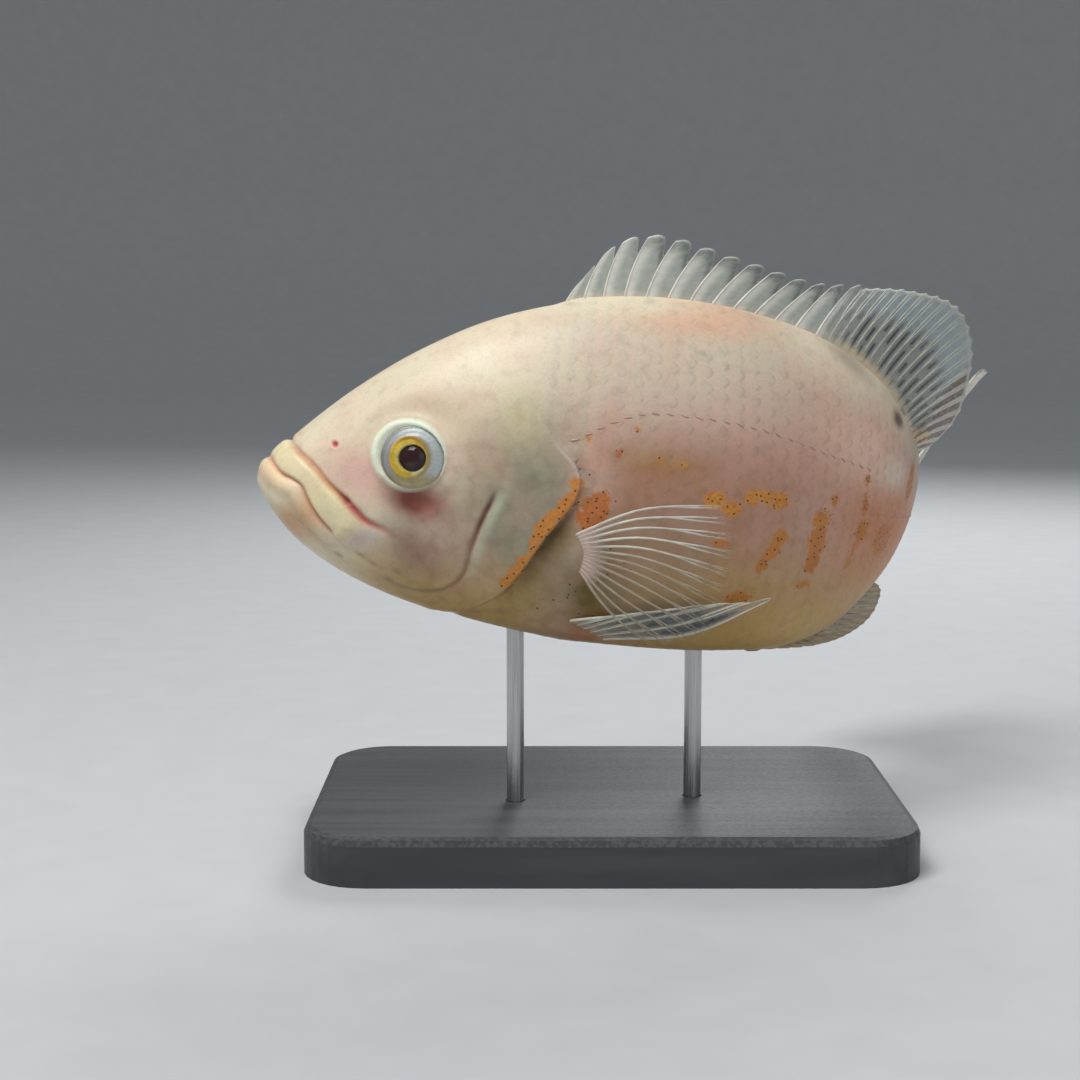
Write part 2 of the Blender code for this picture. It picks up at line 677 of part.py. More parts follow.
def part_mouth(pieces, cut_out, wide, tools):
    """Cuts the upper lip and the lower jaw out of the head. They meet along the line of the mouth."""
    mouth = smooth_path(((-6.0, 11.5),) + MOUTH_LINE, 24)
    groove = smooth_path(((-6.0, 16.0), (3.0, 13.0)) + LIP_GROOVE, 24)
    jaw_joint = np.array(JAW_JOINT) * MM
    below, far_ahead = -0.040, -0.008
    outlines = {
        "upper_lip": [*offset_path(mouth, GAP / 2), *offset_path(groove, -GAP / 2)[::-1]],
        "lower_jaw": [*offset_path(mouth, -GAP / 2), jaw_joint, (jaw_joint[0], below), (far_ahead, below)],
    }
    for name, outline in outlines.items():
        pieces[name] = cut_out(pieces["head"], cutter(name + "_block", outline, -wide, wide, tools), name)
    clear = [
        *offset_path(groove, GAP / 2),
        groove[-1] + (GAP, -GAP / 2),
        mouth[-1] + (1.2 * GAP, 0.0),
        jaw_joint + (GAP, 0.0),
        (jaw_joint[0] + GAP, below),
        (far_ahead, below),
        (far_ahead, 0.016),
    ]
    apply_boolean(pieces["head"], cutter("mouth_block", clear, -wide, wide, tools), "DIFFERENCE")


def part_gill_covers(pieces, cut_out, wide, tools):
    """Cuts a plate out of each side of the head, from the cheek's groove back to the gill opening."""
    lower_corner, upper_front = (52.6, -22.6), ((62.2, 12.0), (66.4, 18.2))
    outline = smooth_path(GILL_EDGE[1:] + (lower_corner,) + CHEEK_GROOVE[3::-1] + upper_front, 60)
    margin, inner_face = GILL_COVER_MARGIN * MM, GILL_COVER_INNER_FACE * MM
    for side, tag in ((-1, "left"), (1, "right")):
        name = f"gill_cover_{tag}"
        low, high = sorted((side * inner_face, side * wide))
        plate = cutter(name + "_block", offset_path(outline, margin), low, high, tools)
        pieces[name] = cut_out(pieces["head"], plate, name)
        low, high = sorted((side * (inner_face - GAP), side * wide))
        bed = cutter(name + "_bed", offset_path(outline, margin + GAP), low, high, tools)
        apply_boolean(pieces["head"], bed, "DIFFERENCE")


def build_flesh(model, tools):
    """The head, the jaws, the gill covers, the trunk, the tail's stem and the eyes, laid along the backbone."""
    shades = {
        "head": PALE_SKIN,
        "upper_lip": LIP_SKIN,
        "lower_jaw": LIP_SKIN,
        "gill_cover_left": PALE_SKIN,
        "gill_cover_right": PALE_SKIN,
        "trunk": PINK_SKIN,
        "tail_stem": PINK_SKIN,
    }
    skin = {name: make_material(f"{name}_skin", shade, SKIN_ROUGHNESS) for name, shade in shades.items()}
    pieces = part_body(body_mesh("whole_body", skin["trunk"], tools), skin, model, tools)
    for side, tag in ((-1, "left"), (1, "right")):
        cornea = make_material(f"eye_{tag}_cornea", EYE_GOLD, EYE_ROUGHNESS)
        pieces[f"eye_{tag}"] = eyeball(f"eye_{tag}", side, 0.0, cornea, model)
        for hollow in (eyeball("socket", side, GAP, None, tools), nostril_cutter(side, tools)):
            apply_boolean(pieces["head"], hollow, "DIFFERENCE")
    for piece in pieces.values():
        largest_piece(piece)
        reshape(piece, bend)
        piece.data.shade_smooth()
        piece.data.set_sharp_from_angle(angle=SHARP_ANGLE)
    return pieces


def build_fins(model):
    pectoral = (PECTORAL_RAYS, (PECTORAL_ROOTS, PECTORAL_MIDDLES, PECTORAL_TIPS), PECTORAL_STAND_OFF)
    pelvic = (PELVIC_RAYS, (PELVIC_ROOTS, PELVIC_MIDDLES, PELVIC_TIPS), PELVIC_STAND_OFF)
    fins = {
        "dorsal_fin": (dorsal_rays(RAY_ROWS), SPINE_THICKNESS, DORSAL_SPINES),
        "anal_fin": (anal_rays(RAY_ROWS), SOFT_THICKNESS, ANAL_SPINES),
        "tail_fin": (caudal_rays(RAY_ROWS + 1), SOFT_THICKNESS, 0),
    }
    for side, tag in ((-1, "left"), (1, "right")):
        fins[f"pectoral_fin_{tag}"] = (paired_fin_rays(*pectoral, side, RAY_ROWS), SOFT_THICKNESS, 0)
        fins[f"pelvic_fin_{tag}"] = (paired_fin_rays(*pelvic, side, RAY_ROWS), SOFT_THICKNESS, 0)
    pieces = {}
    for name, (rays, thickness, spines) in fins.items():
        membrane = make_material(f"{name}_membrane", FIN_GREY, FIN_ROUGHNESS)
        pieces[name] = fin_object(name, rays, thickness, membrane, model, spines)
    return pieces


def build_base(model):
    """A flat block with rounded corners and a soft upper edge."""
    paint = make_material("stand_base_paint", STAND_GREY, PAINT_ROUGHNESS)
    base = primitive("stand_base", bpy.ops.mesh.primitive_cube_add, paint, model)
    size = Matrix.Diagonal((BASE_LENGTH / 2, BASE_DEPTH / 2, BASE_HEIGHT / 2, 1))
    base.data.transform(Matrix.Translation((0, 0, BASE_HEIGHT / 2)) @ size)
    edit = bmesh.new()
    edit.from_mesh(base.data)
    upright = [e for e in edit.edges if abs(e.verts[0].co.z - e.verts[1].co.z) > BASE_HEIGHT / 2]
    bmesh.ops.bevel(edit, geom=upright, offset=BASE_CORNER, segments=8, affect="EDGES", profile=0.5)
    rim = [e for e in edit.edges if min(v.co.z for v in e.verts) > BASE_HEIGHT * 0.9]
    bmesh.ops.bevel(edit, geom=rim, offset=BASE_EDGE, segments=2, affect="EDGES", profile=0.5)
    edit.to_mesh(base.data)
    edit.free()
    return base


def rod(name, along, pose, grow, material, collection):
    """An upright rod, from its socket in the base to its socket in the belly, thicker and longer by grow."""
    belly = float(section(np.array(along))[1])
    x, y, z = pose @ Vector(bend(np.array([along, 0.0, belly])))
    foot, head = BASE_HEIGHT - BASE_SOCKET, z + BELLY_SOCKET
    cylinder = primitive(name, bpy.ops.mesh.primitive_cylinder_add, material, collection, vertices=24)
    radius, half_height = ROD_RADIUS + grow, (head - foot) / 2 + grow
    middle = Matrix.Translation((x, y, (head + foot) / 2))
    cylinder.data.transform(middle @ Matrix.Diagonal((radius, radius, half_height, 1)))
    return cylinder


def build_stand(trunk, pose, model, tools):
    """The base and two rods that end in blind sockets in the belly and in the base."""
    base = build_base(model)
    for name, along in ROD_STATIONS.items():
        steel = make_material(f"{name}_steel", STEEL, STEEL_ROUGHNESS, 1.0)
        upright = rod(name, along, pose, 0.0, steel, model)
        hole = rod("hole", along, pose, GAP, None, tools)
        apply_boolean(base, hole, "DIFFERENCE")
        apply_boolean(trunk, hole, "DIFFERENCE")
        upright.data.shade_smooth()
        upright.data.set_sharp_from_angle(angle=SHARP_ANGLE)


def main():
    clear_scene()
    model = bpy.data.collections.new("oscar_fish")
    tools = bpy.data.collections.new("cutters")
    for collection in (model, tools):
        bpy.context.scene.collection.children.link(collection)
    fish = bpy.data.objects.new("fish_pose", None)
    fish.matrix_world = fish_pose()
    model.objects.link(fish)
    pieces = build_flesh(model, tools) | build_fins(model)
    for piece in pieces.values():
        piece.parent = fish
    bpy.context.view_layer.update()
    build_stand(pieces["trunk"], fish.matrix_world, model, tools)
    discard(*list(tools.objects))
    bpy.data.collections.remove(tools)


main()
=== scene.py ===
# %% [markdown]
# A pale oscar fish, swimming
#
# This lesson dresses a life-size model of an oscar, a deep-bodied cichlid of slow South American rivers. It
# is about 20 cm long from its snout to the root of its tail. It is cream and pink with a few orange marks,
# its fins are clear and ribbed, and it swings its tail away from the viewer. A flat base and two rods hold it
# up.
#
# The solids of the model are loaded first and never move. Every finished piece is made in the same place,
# in metres, with the fish looking along -X, its left side to -Y and +Z up.

# %% Load the model
import math

import bmesh
import bpy
import numpy as np
from mathutils import Matrix, Vector


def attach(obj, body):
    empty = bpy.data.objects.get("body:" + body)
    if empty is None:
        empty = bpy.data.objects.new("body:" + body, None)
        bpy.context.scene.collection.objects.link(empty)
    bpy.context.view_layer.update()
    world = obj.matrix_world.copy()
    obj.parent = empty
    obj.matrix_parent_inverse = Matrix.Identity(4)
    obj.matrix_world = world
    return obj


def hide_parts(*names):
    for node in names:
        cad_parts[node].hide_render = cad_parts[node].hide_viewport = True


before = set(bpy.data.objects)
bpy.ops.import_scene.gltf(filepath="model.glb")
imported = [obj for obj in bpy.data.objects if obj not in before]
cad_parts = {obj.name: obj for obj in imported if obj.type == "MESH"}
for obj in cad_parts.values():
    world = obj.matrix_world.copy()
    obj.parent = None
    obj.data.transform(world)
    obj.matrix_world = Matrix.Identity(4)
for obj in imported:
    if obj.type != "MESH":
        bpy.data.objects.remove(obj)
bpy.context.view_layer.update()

# %% [markdown]
# The fish's own measures
#
# Everything on a fish is easiest to place along a straight fish: a distance back from the snout, a height,
# and a distance out from the middle. A backbone then carries each of those points to where the living fish
# has them, with its tail swung aside. The same few numbers drive the skin, the fins and every marking, so
# they are set once, here. Body sizes are in metres, and places on the head and fins are in millimetres.

# %% Measures of the body and the curve of the backbone
MM = 0.001
BODY_LENGTH = 0.200
BEND_START = 0.34 * BODY_LENGTH
BEND_TURN = math.radians(82)
BEND_POWER = 1.55
TWIST_START = 0.60 * BODY_LENGTH
TWIST_TURN = math.radians(15)
NOSE_UP = math.radians(6)
FIN_FOLLOW = 0.9

BASE_HEIGHT = 0.012
BASE_SHIFT = 0.012
BELLY_HEIGHT = 0.040
BALANCE = 0.46 * BODY_LENGTH

# Distance from the snout, height of the back and of the belly, half width, as shares of the length,
# and then the height of the widest level as a share of the depth
SECTIONS = np.array((
    (0.000, 0.000, 0.000, 0.000, 0.50),
    (0.010, 0.019, -0.022, 0.024, 0.50),
    (0.030, 0.042, -0.047, 0.044, 0.50),
    (0.060, 0.073, -0.075, 0.062, 0.49),
    (0.115, 0.123, -0.107, 0.080, 0.48),
    (0.190, 0.178, -0.134, 0.092, 0.47),
    (0.280, 0.226, -0.152, 0.102, 0.45),
    (0.380, 0.256, -0.163, 0.105, 0.43),
    (0.490, 0.267, -0.167, 0.100, 0.42),
    (0.600, 0.259, -0.165, 0.087, 0.43),
    (0.700, 0.236, -0.157, 0.069, 0.44),
    (0.790, 0.193, -0.137, 0.051, 0.46),
    (0.870, 0.138, -0.104, 0.037, 0.47),
    (0.940, 0.101, -0.085, 0.027, 0.48),
    (1.000, 0.088, -0.084, 0.018, 0.49),
))
UPPER_FULLNESS = (2.05, 1.80)
LOWER_FULLNESS = (2.10, 2.20)
HEAD_TO_TRUNK = (0.15 * BODY_LENGTH, 0.45 * BODY_LENGTH)
print("body depth", round(float(np.max(SECTIONS[:, 1] - SECTIONS[:, 2])) * BODY_LENGTH / MM, 1), "mm")

# %% [markdown]
# Smooth curves through a few points
#
# A maker draws a fish with a handful of points and a flexible strip of wood, the spline. A cubic curve does
# the same: it passes through each point and takes its slope there from the neighbours. Two more helpers tell
# how far a place is from such a line, and fade one form into the next without a corner. Most functions here
# take whole arrays of distances x and heights z at once.

# %% Curves, distances and fades
def spline(knots, values, at):
    knots, values, at = (np.asarray(a, float) for a in (knots, values, at))
    slopes = np.gradient(values, knots)
    place = np.clip(np.searchsorted(knots, at, side="right") - 1, 0, len(knots) - 2)
    width = knots[place + 1] - knots[place]
    t = np.clip((at - knots[place]) / width, 0.0, 1.0)
    rise = (2 * t**3 - 3 * t**2 + 1) * values[place] + (3 * t**2 - 2 * t**3) * values[place + 1]
    lean = (t**3 - 2 * t**2 + t) * slopes[place] + (t**3 - t**2) * slopes[place + 1]
    return rise + lean * width


def read_curve(knots, at):
    places, values = zip(*knots)
    return spline(places, values, at)


def smooth_path(points, count=40):
    points = np.asarray(points, float)
    along = np.concatenate(([0.0], np.cumsum(np.hypot(*np.diff(points, axis=0).T))))
    at = np.linspace(0.0, along[-1], count)
    return np.stack([spline(along, points[:, k], at) for k in (0, 1)], axis=1)


def near_path(x, z, points, count=28):
    """Distance to a path, share of the way along it, and the side: +1 is above a path that runs backwards."""
    path = smooth_path(points, count)
    steps = np.hypot(*np.diff(path, axis=0).T)
    before = np.concatenate(([0.0], np.cumsum(steps)))
    nearest = np.full(np.shape(x), np.inf)
    share, side = np.zeros(np.shape(x)), np.ones(np.shape(x))
    for k, ((ax, az), (bx, bz)) in enumerate(zip(path[:-1], path[1:])):
        dx, dz = bx - ax, bz - az
        t = np.clip(((x - ax) * dx + (z - az) * dz) / (dx * dx + dz * dz), 0.0, 1.0)
        off_x, off_z = x - ax - t * dx, z - az - t * dz
        away = np.hypot(off_x, off_z)
        closer = away < nearest
        nearest = np.where(closer, away, nearest)
        share = np.where(closer, (before[k] + t * steps[k]) / before[-1], share)
        side = np.where(closer, np.where(dx * off_z - dz * off_x >= 0, 1.0, -1.0), side)
    return nearest, share, side


def fade(low, high, value):
    """0 below low, 1 above high, and a smooth rise between; low may be the larger, which turns it round."""
    t = np.clip((value - low) / (high - low), 0.0, 1.0)
    return t * t * (3 - 2 * t)


def bell(distance, width):
    return np.exp(-(distance / width) ** 2)


# %% [markdown]
# From the straight fish to the swimming one
#
# A section of the body is a superellipse, fuller below than above. The backbone turns ever faster towards the
# tail, so its points are added up in small steps. Last of all the whole fish is tilted nose up and lifted
# over its base. Doing this in numpy keeps the same rule for the skin, the fins and the scales.

# %% Sections, backbone and pose
def section(along):
    share = np.sqrt(np.clip(np.asarray(along) / BODY_LENGTH, 0.0, 1.0))
    knots = np.sqrt(SECTIONS[:, 0])
    back, belly, half = (spline(knots, SECTIONS[:, k], share) * BODY_LENGTH for k in (1, 2, 3))
    level = belly + (back - belly) * spline(knots, SECTIONS[:, 4], share)
    return back, belly, half, level


def half_outline(along, points=241):
    """Points (y, z) down one side of a section, and the distance walked to each from the back."""
    back, belly, half, level = (float(v) for v in section(along))
    trunk = float(fade(*HEAD_TO_TRUNK, along))
    upper, lower = (np.interp(trunk, (0.0, 1.0), pair) for pair in (UPPER_FULLNESS, LOWER_FULLNESS))
    angle = np.linspace(math.pi / 2, -math.pi / 2, points)
    power = 2.0 / np.where(angle > 0, upper, lower)
    reach = np.where(angle > 0, back - level, level - belly)
    y = half * np.abs(np.cos(angle)) ** power
    z = level + reach * np.sign(angle) * np.abs(np.sin(angle)) ** power
    return y, z, np.concatenate(([0.0], np.cumsum(np.hypot(np.diff(y), np.diff(z)))))


def flank(along, height):
    """The half width of the plain body at a distance from the snout and a height."""
    y, z, _ = half_outline(along)
    return float(np.interp(height, z[::-1], y[::-1]))


def heading(along):
    t = np.clip((along - BEND_START) / (BODY_LENGTH - BEND_START), 0.0, None)
    return BEND_TURN * t**BEND_POWER


def backbone(along):
    steps = np.linspace(0.0, 1.5 * BODY_LENGTH, 1501)
    middle = heading(steps[:-1] + steps[1] / 2)
    x = np.concatenate(([0.0], np.cumsum(np.cos(middle)) * steps[1]))
    y = np.concatenate(([0.0], np.cumsum(np.sin(middle)) * steps[1]))
    return np.interp(along, steps, x) + np.minimum(along, 0.0), np.interp(along, steps, y)


def body_axes(along):
    """The local directions to the fish's left and upwards, each an array (..., 3)."""
    turn = heading(along)
    lean = TWIST_TURN * fade(TWIST_START, BODY_LENGTH, along)
    flat = np.zeros_like(turn)
    left = np.stack([np.sin(turn), -np.cos(turn), flat], axis=-1)
    up = np.stack([flat, flat, np.ones_like(turn)], axis=-1)
    cos, sin = np.cos(lean)[..., None], np.sin(lean)[..., None]
    return cos * left - sin * up, cos * up + sin * left


def bend(points):
    points = np.asarray(points, float)
    x, y = backbone(points[..., 0])
    left, up = body_axes(points[..., 0])
    middle = np.stack([x, y, np.zeros_like(x)], axis=-1)
    return middle - left * points[..., 1:2] + up * points[..., 2:3]


def fish_pose():
    x, y = (float(v) for v in backbone(np.array(BALANCE)))
    centre = Vector((x, y + BASE_SHIFT, float(section(BALANCE)[1])))
    lift = Matrix.Translation((0, 0, BASE_HEIGHT + BELLY_HEIGHT))
    return lift @ Matrix.Rotation(NOSE_UP, 4, "Y") @ Matrix.Translation(-centre)


POSE = np.array(fish_pose())


def posed(points):
    """Bent points of the fish, tilted and lifted over the base."""
    return np.asarray(points) @ POSE[:3, :3].T + POSE[:3, 3]


snout = posed(np.zeros(3))

# %% [markdown]
# The camera
#
# The picture is taken from half a metre, a little above the fish and square to its left side. Setting the
# camera first means that every later piece is judged from the right place.

# %% Camera
CAMERA_DISTANCE = 0.50
CAMERA_DROP = math.radians(7)
SENSOR_WIDTH = 36
FOCAL_LENGTH = 66.67
AIM_FROM_SNOUT = (0.0705, 0.0, -0.01625)
AIM = Vector(snout) + Vector(AIM_FROM_SNOUT)

camera = bpy.data.objects.new("camera", bpy.data.cameras.new("camera"))
bpy.context.collection.objects.link(camera)
camera.data.sensor_width = SENSOR_WIDTH
camera.data.lens = FOCAL_LENGTH
camera.data.clip_start = 0.01
camera.location = AIM + Vector((0, -math.cos(CAMERA_DROP), math.sin(CAMERA_DROP))) * CAMERA_DISTANCE
camera.rotation_euler = (math.pi / 2 - CAMERA_DROP, 0, 0)
bpy.context.scene.camera = camera
print("camera at", [round(v, 3) for v in camera.location])

# %% [markdown]
# The lines of the head
#
# A cichlid's face is drawn by a few lines: the slanting mouth, the groove that frees the upper lip from the
# snout, the slot behind it, the crease of the cheek and the free edge of the gill cover. Each is a short
# list of points seen from the side, as (distance back from the snout, height) in millimetres.

# %% Lines and places of the head
MOUTH_START = (2.9, 5.3)
MOUTH = (
    (-6.0, 11.5), (4.3, 4.4), (7.2, 2.1), (10.4, 1.1), (12.6, 0.0), (14.2, -2.6), (17.2, -6.8), (21.0, -10.2),
)
LIP_GROOVE = (
    (-6.0, 16.0), (3.0, 13.0), (8.8, 9.0), (13.4, 6.2), (16.1, 4.2), (18.8, 1.6), (21.5, -0.5), (24.0, -2.4),
)
LIP_SLOT = ((18.8, 1.6), (21.5, -0.5), (24.0, -2.4), (26.0, -4.1), (29.0, -6.5), (33.9, -8.3), (40.0, -12.0))
JAW_CREASE = ((21.6, -11.6), (25.0, -14.6), (31.0, -17.4), (38.0, -20.0))
CHEEK_SLIT = (
    (60.6, 5.4), (57.3, -2.7), (55.2, -10.5), (53.8, -17.1), (49.6, -21.4), (44.7, -22.8), (37.4, -22.0),
    (29.0, -17.8),
)
GILL_EDGE = (
    (66.0, 25.0), (70.6, 20.0), (74.6, 15.6), (78.0, 12.0), (79.2, 8.6), (78.6, 4.6), (76.5, 0.6),
    (73.4, -4.4), (70.2, -10.4), (67.2, -16.0), (63.8, -20.6), (58.6, -24.6), (50.0, -27.6), (42.0, -29.6),
)
THROAT_FOLD = ((66.0, -25.4), (56.0, -28.4), (47.0, -30.4))
EYE = (39.3, 9.85)
COLLAR = (38.2, 10.5)
EYE_FLATNESS = 1.07
NOSTRIL = (19.9, 10.9)
PECTORAL_BASE = (78.8, -9.0)
print("the mouth is", round(math.dist(MOUTH_START, MOUTH[-1]), 1), "mm long")

# %% [markdown]
# The relief of the head
#
# The lips are rolls between two lines, so the height of a roll depends on how far a place is from each line.
# Slits are narrow bells turned inwards. The gill cover is a thin plate with a free rear edge: the skin swells
# towards the edge and drops away behind it within half a millimetre. The eye sits in a pit with a raised
# collar. All heights are in millimetres outwards from the smooth body.

# %% Relief of lips, slits, gill cover and eye
def distance(x, z, centre, flatness=1.0):
    return np.hypot(x - centre[0], flatness * (z - centre[1]))


def down_the_lip(x, z):
    """How far down along the slanting lips a place is, in millimetres."""
    return 0.62 * x - 0.78 * z


def lips_relief(x, z):
    to_mouth, _, above = near_path(x, z, MOUTH, 44)
    to_groove, _, over_groove = near_path(x, z, LIP_GROOVE, 36)
    down_lip = down_the_lip(x, z)
    share = to_mouth / np.maximum(to_mouth + to_groove, 1e-6)
    roll = np.clip(4 * share * (1 - share), 0.0, 1.0) ** 0.38
    upper = np.where((above > 0) & (over_groove < 0), 0.85 * roll, 0.0) * fade(25.6, 21.6, down_lip)
    below = np.where(above < 0, to_mouth, 0.0)
    lower_lip = np.where(above < 0, 0.80 * bell(below - 2.3, 1.9) - 0.20 * bell(below - 5.6, 1.3), 0.0)
    lower_lip = lower_lip * fade(25.5, 16.0, down_lip)
    parting = -0.55 * bell(to_mouth, 0.50) * fade(25.0, 16.0, down_lip)
    return upper + lower_lip + parting


# Path, depth, width, the shares of the path over which the groove fades in and out, and steps of the path
SLITS = (
    (LIP_GROOVE, 0.85, 0.75, 0.35, 0.0, 36),
    (LIP_SLOT, 1.15, 0.85, 0.30, 0.75, 36),
    (CHEEK_SLIT, 0.80, 0.60, 0.08, 0.85, 44),
    (JAW_CREASE, 0.35, 0.7, 0.2, 0.6, 28),
    (THROAT_FOLD, 0.45, 0.8, 0.3, 0.3, 28),
)


def slit(x, z, points, depth, width, start, end, count):
    away, share, _ = near_path(x, z, points, count)
    ends = fade(0.0, start, share)
    ends = ends * fade(0.0, end, 1.0 - share) if end else ends
    return -depth * bell(away, width) * ends


def gill_cover_relief(x, z):
    away, share, side = near_path(x, z, GILL_EDGE, 60)
    ahead = -side * away
    plate = 0.95 * np.exp(-np.maximum(ahead, 0.0) / 7.0)
    hollow = -0.75 * np.exp(-np.maximum(-ahead, 0.0) / 2.6)
    step = hollow + (plate - hollow) * fade(-0.34, 0.26, ahead)
    shown = fade(0.02, 0.20, share) * fade(1.0, 0.80, share)
    return step * shown + 0.5 * bell(distance(x, z, (66.0, -1.0), 1 / 1.4), 11.0)


def eye_relief(x, z):
    away = distance(x, z, EYE, EYE_FLATNESS)
    from_collar = distance(x, z, COLLAR, EYE_FLATNESS)
    collar = 1.30 * bell(from_collar - 8.1, 1.2) - 0.45 * bell(away - 12.6, 2.6)
    pit = -3.2 * fade(7.65, 6.9, away)
    bag = -0.35 * bell(distance(x, z, (40.0, -1.4), 1.6), 6.0)
    return collar + pit + bag


def head_relief(x, z):
    nostril_gap = distance(x, z, NOSTRIL)
    nostril = 0.12 * bell(nostril_gap - 1.2, 0.5) - 0.85 * bell(nostril_gap, 0.52)
    cheek = 0.65 * bell(distance(x, z, (47.0, -8.0), 1 / 1.1), 9.5)
    jaw_plate = 0.55 * bell(distance(x, z, (27.0, -10.0)), 3.6)
    slits = sum(slit(x, z, *row) for row in SLITS)
    away, share, side = near_path(x, z, CHEEK_SLIT, 44)
    cheek_plate = 0.38 * (side < 0) * np.exp(-away / 4.0) * fade(0.02, 0.12, share) * fade(0.9, 0.5, share)
    return nostril + cheek + jaw_plate + slits + cheek_plate


def oval(x, z, centre, size):
    """0 in the middle of an oval and 1 on its edge."""
    return np.hypot((x - centre[0]) / size[0], (z - centre[1]) / size[1])


def fleshy_bases(x, z):
    pectoral = 1.15 * bell(oval(x, z, PECTORAL_BASE, (3.4, 6.2)), 1.0)
    pelvic = 0.9 * bell(oval(x, z, (80.5, -30.0), (7.0, 2.6)), 1.0)
    return pectoral + pelvic


ahead, behind = (float(gill_cover_relief(np.array(x), np.array(-4.4))) for x in (72.0, 75.0))
print("the gill cover's edge steps down", round(ahead - behind, 2), "mm")

# %% [markdown]
# The skin as one net
#
# One closed skin covers head, jaws, gill covers, trunk and tail stem, so no seam shows. It is a net of rings.
# The rings lie 0.44 mm apart on the head, where lips and slits need them, and wider on the plain trunk, which
# the scales will cover. Around each ring the points crowd towards the side of the face and spread out over
# the forehead. The trunk's skin lies a tenth of a millimetre deep, to leave room for the scales.

# %% Where the scales start
SCALE_DEPTH = 0.12


def scale_cover(x, z):
    """1 where the body is covered with full scales, 0 on the bare head and along the very end of the tail."""
    nape = fade(61.0, 78.0, x - 0.25 * (z - 25.0))
    away, _, side = near_path(x, z, GILL_EDGE, 40)
    behind_gill = fade(1.2, 4.0, np.where(side > 0, away, -away))
    lower = fade(14.0, 26.0, z)
    cover = nape * lower + behind_gill * (1 - lower)
    chest = oval(x, z, PECTORAL_BASE, (5.0, 8.5))
    return cover * fade(0.8, 1.15, chest) * fade(198.5, 194.0, x)


print("scale cover at the shoulder", round(float(scale_cover(np.array(90.0), np.array(10.0))), 2))

# %% Rings of the skin
HALF_RING = 152
VENT = 130.5
HEAD_RINGS = np.concatenate([0.12 * np.arange(1, 9) ** 1.65, np.arange(4.1, 84.0, 0.44)])
TRUNK_RINGS = np.concatenate([np.arange(84.6, 196.0, 1.35), np.array([197.0, 198.4, 199.4, 200.0])])


def skin_ring(along):
    """Points (y, z) down the left side, closer together beside the eye, the mouth and the gill cover."""
    y, z, walked = half_outline(along)
    face = fade(24.0, 15.0, z / MM) * fade(-33.0, -27.0, z / MM) * fade(100.0, 80.0, along / MM)
    closeness = 0.45 + 0.9 * face
    share = np.concatenate(([0.0], np.cumsum(np.diff(walked) * (closeness[1:] + closeness[:-1]) / 2)))
    at = np.linspace(0.0, share[-1], HALF_RING)
    y = np.interp(at, share, y)
    y[[0, -1]] = 0.0
    return y, np.interp(at, share, z)


def skin_net():
    """The straight skin: array (rings, points around, 3), in metres, with its relief."""
    rings = []
    for along in np.concatenate([HEAD_RINGS, TRUNK_RINGS]) * MM:
        y, z = skin_ring(along)
        left = np.stack([np.full(HALF_RING, along), -y, z], axis=1)
        rings.append(np.concatenate([left, left[-2:0:-1] * (1, -1, 1)]))
    net = np.array(rings)
    lengthwise = np.gradient(net, net[:, 0, 0], axis=0)
    around = np.roll(net, -1, axis=1) - np.roll(net, 1, axis=1)
    normal = np.cross(around, lengthwise)
    normal /= np.linalg.norm(normal, axis=2, keepdims=True)
    x, y, z = (net[..., k] / MM for k in range(3))
    sideways = fade(0.0, 0.5, np.abs(normal[..., 1]))
    relief = lips_relief(x, z) * fade(30.0, 24.0, x) + head_relief(x, z) * fade(84.0, 74.0, x)
    relief = relief + (gill_cover_relief(x, z) + fleshy_bases(x, z)) * fade(100.0, 90.0, x)
    relief = relief + eye_relief(x, z) * sideways
    fin_rows = fade(68.0, 76.0, x) * (z > 0) + fade(130.0, 138.0, x) * fade(186.0, 180.0, x) * (z < 0)
    ridge = 1.1 * bell(np.abs(y), 1.5) * fin_rows * fade(192.0, 186.0, x)
    from_vent = np.hypot(x - VENT, y)
    vent = 0.7 * bell(from_vent - 1.5, 0.8) - 0.9 * bell(from_vent, 0.7)
    relief = relief + ridge + vent * (z < 0) - SCALE_DEPTH * scale_cover(x, z)
    return net + normal * relief[..., None] * MM, net


skin_points, smooth_points = skin_net()
print("skin rings:", skin_points.shape[0], "with", skin_points.shape[1], "points each")

# %% [markdown]
# From points to a mesh
#
# A few helpers make a mesh from points and faces, find the faces of a net, turn them outwards, and keep or
# read a named value on every point. The straight fish's coordinates are stored on the skin under the name
# flat, because every marking is painted in them: distance back, height, and left or right.

# %% Mesh helpers
def new_mesh_object(name, points, faces, edges=()):
    mesh = bpy.data.meshes.new(name)
    mesh.from_pydata(np.asarray(points, float).tolist(), list(edges), faces)
    mesh.validate()
    mesh.shade_smooth()
    piece = bpy.data.objects.new(name, mesh)
    bpy.context.collection.objects.link(piece)
    return piece


def net_faces(rows, columns, wrap=True):
    r, c = np.meshgrid(np.arange(rows - 1), np.arange(columns if wrap else columns - 1), indexing="ij")
    d = (c + 1) % columns
    corners = (r * columns + c, (r + 1) * columns + c, (r + 1) * columns + d, r * columns + d)
    return np.stack(corners, axis=-1).reshape(-1, 4)


def face_outwards(piece):
    """Turns every face of a closed piece outwards."""
    shape = bmesh.new()
    shape.from_mesh(piece.data)
    bmesh.ops.recalc_face_normals(shape, faces=shape.faces)
    shape.to_mesh(piece.data)
    shape.free()


KINDS = {1: ("FLOAT", "value"), 3: ("FLOAT_VECTOR", "vector"), 4: ("FLOAT_COLOR", "color")}


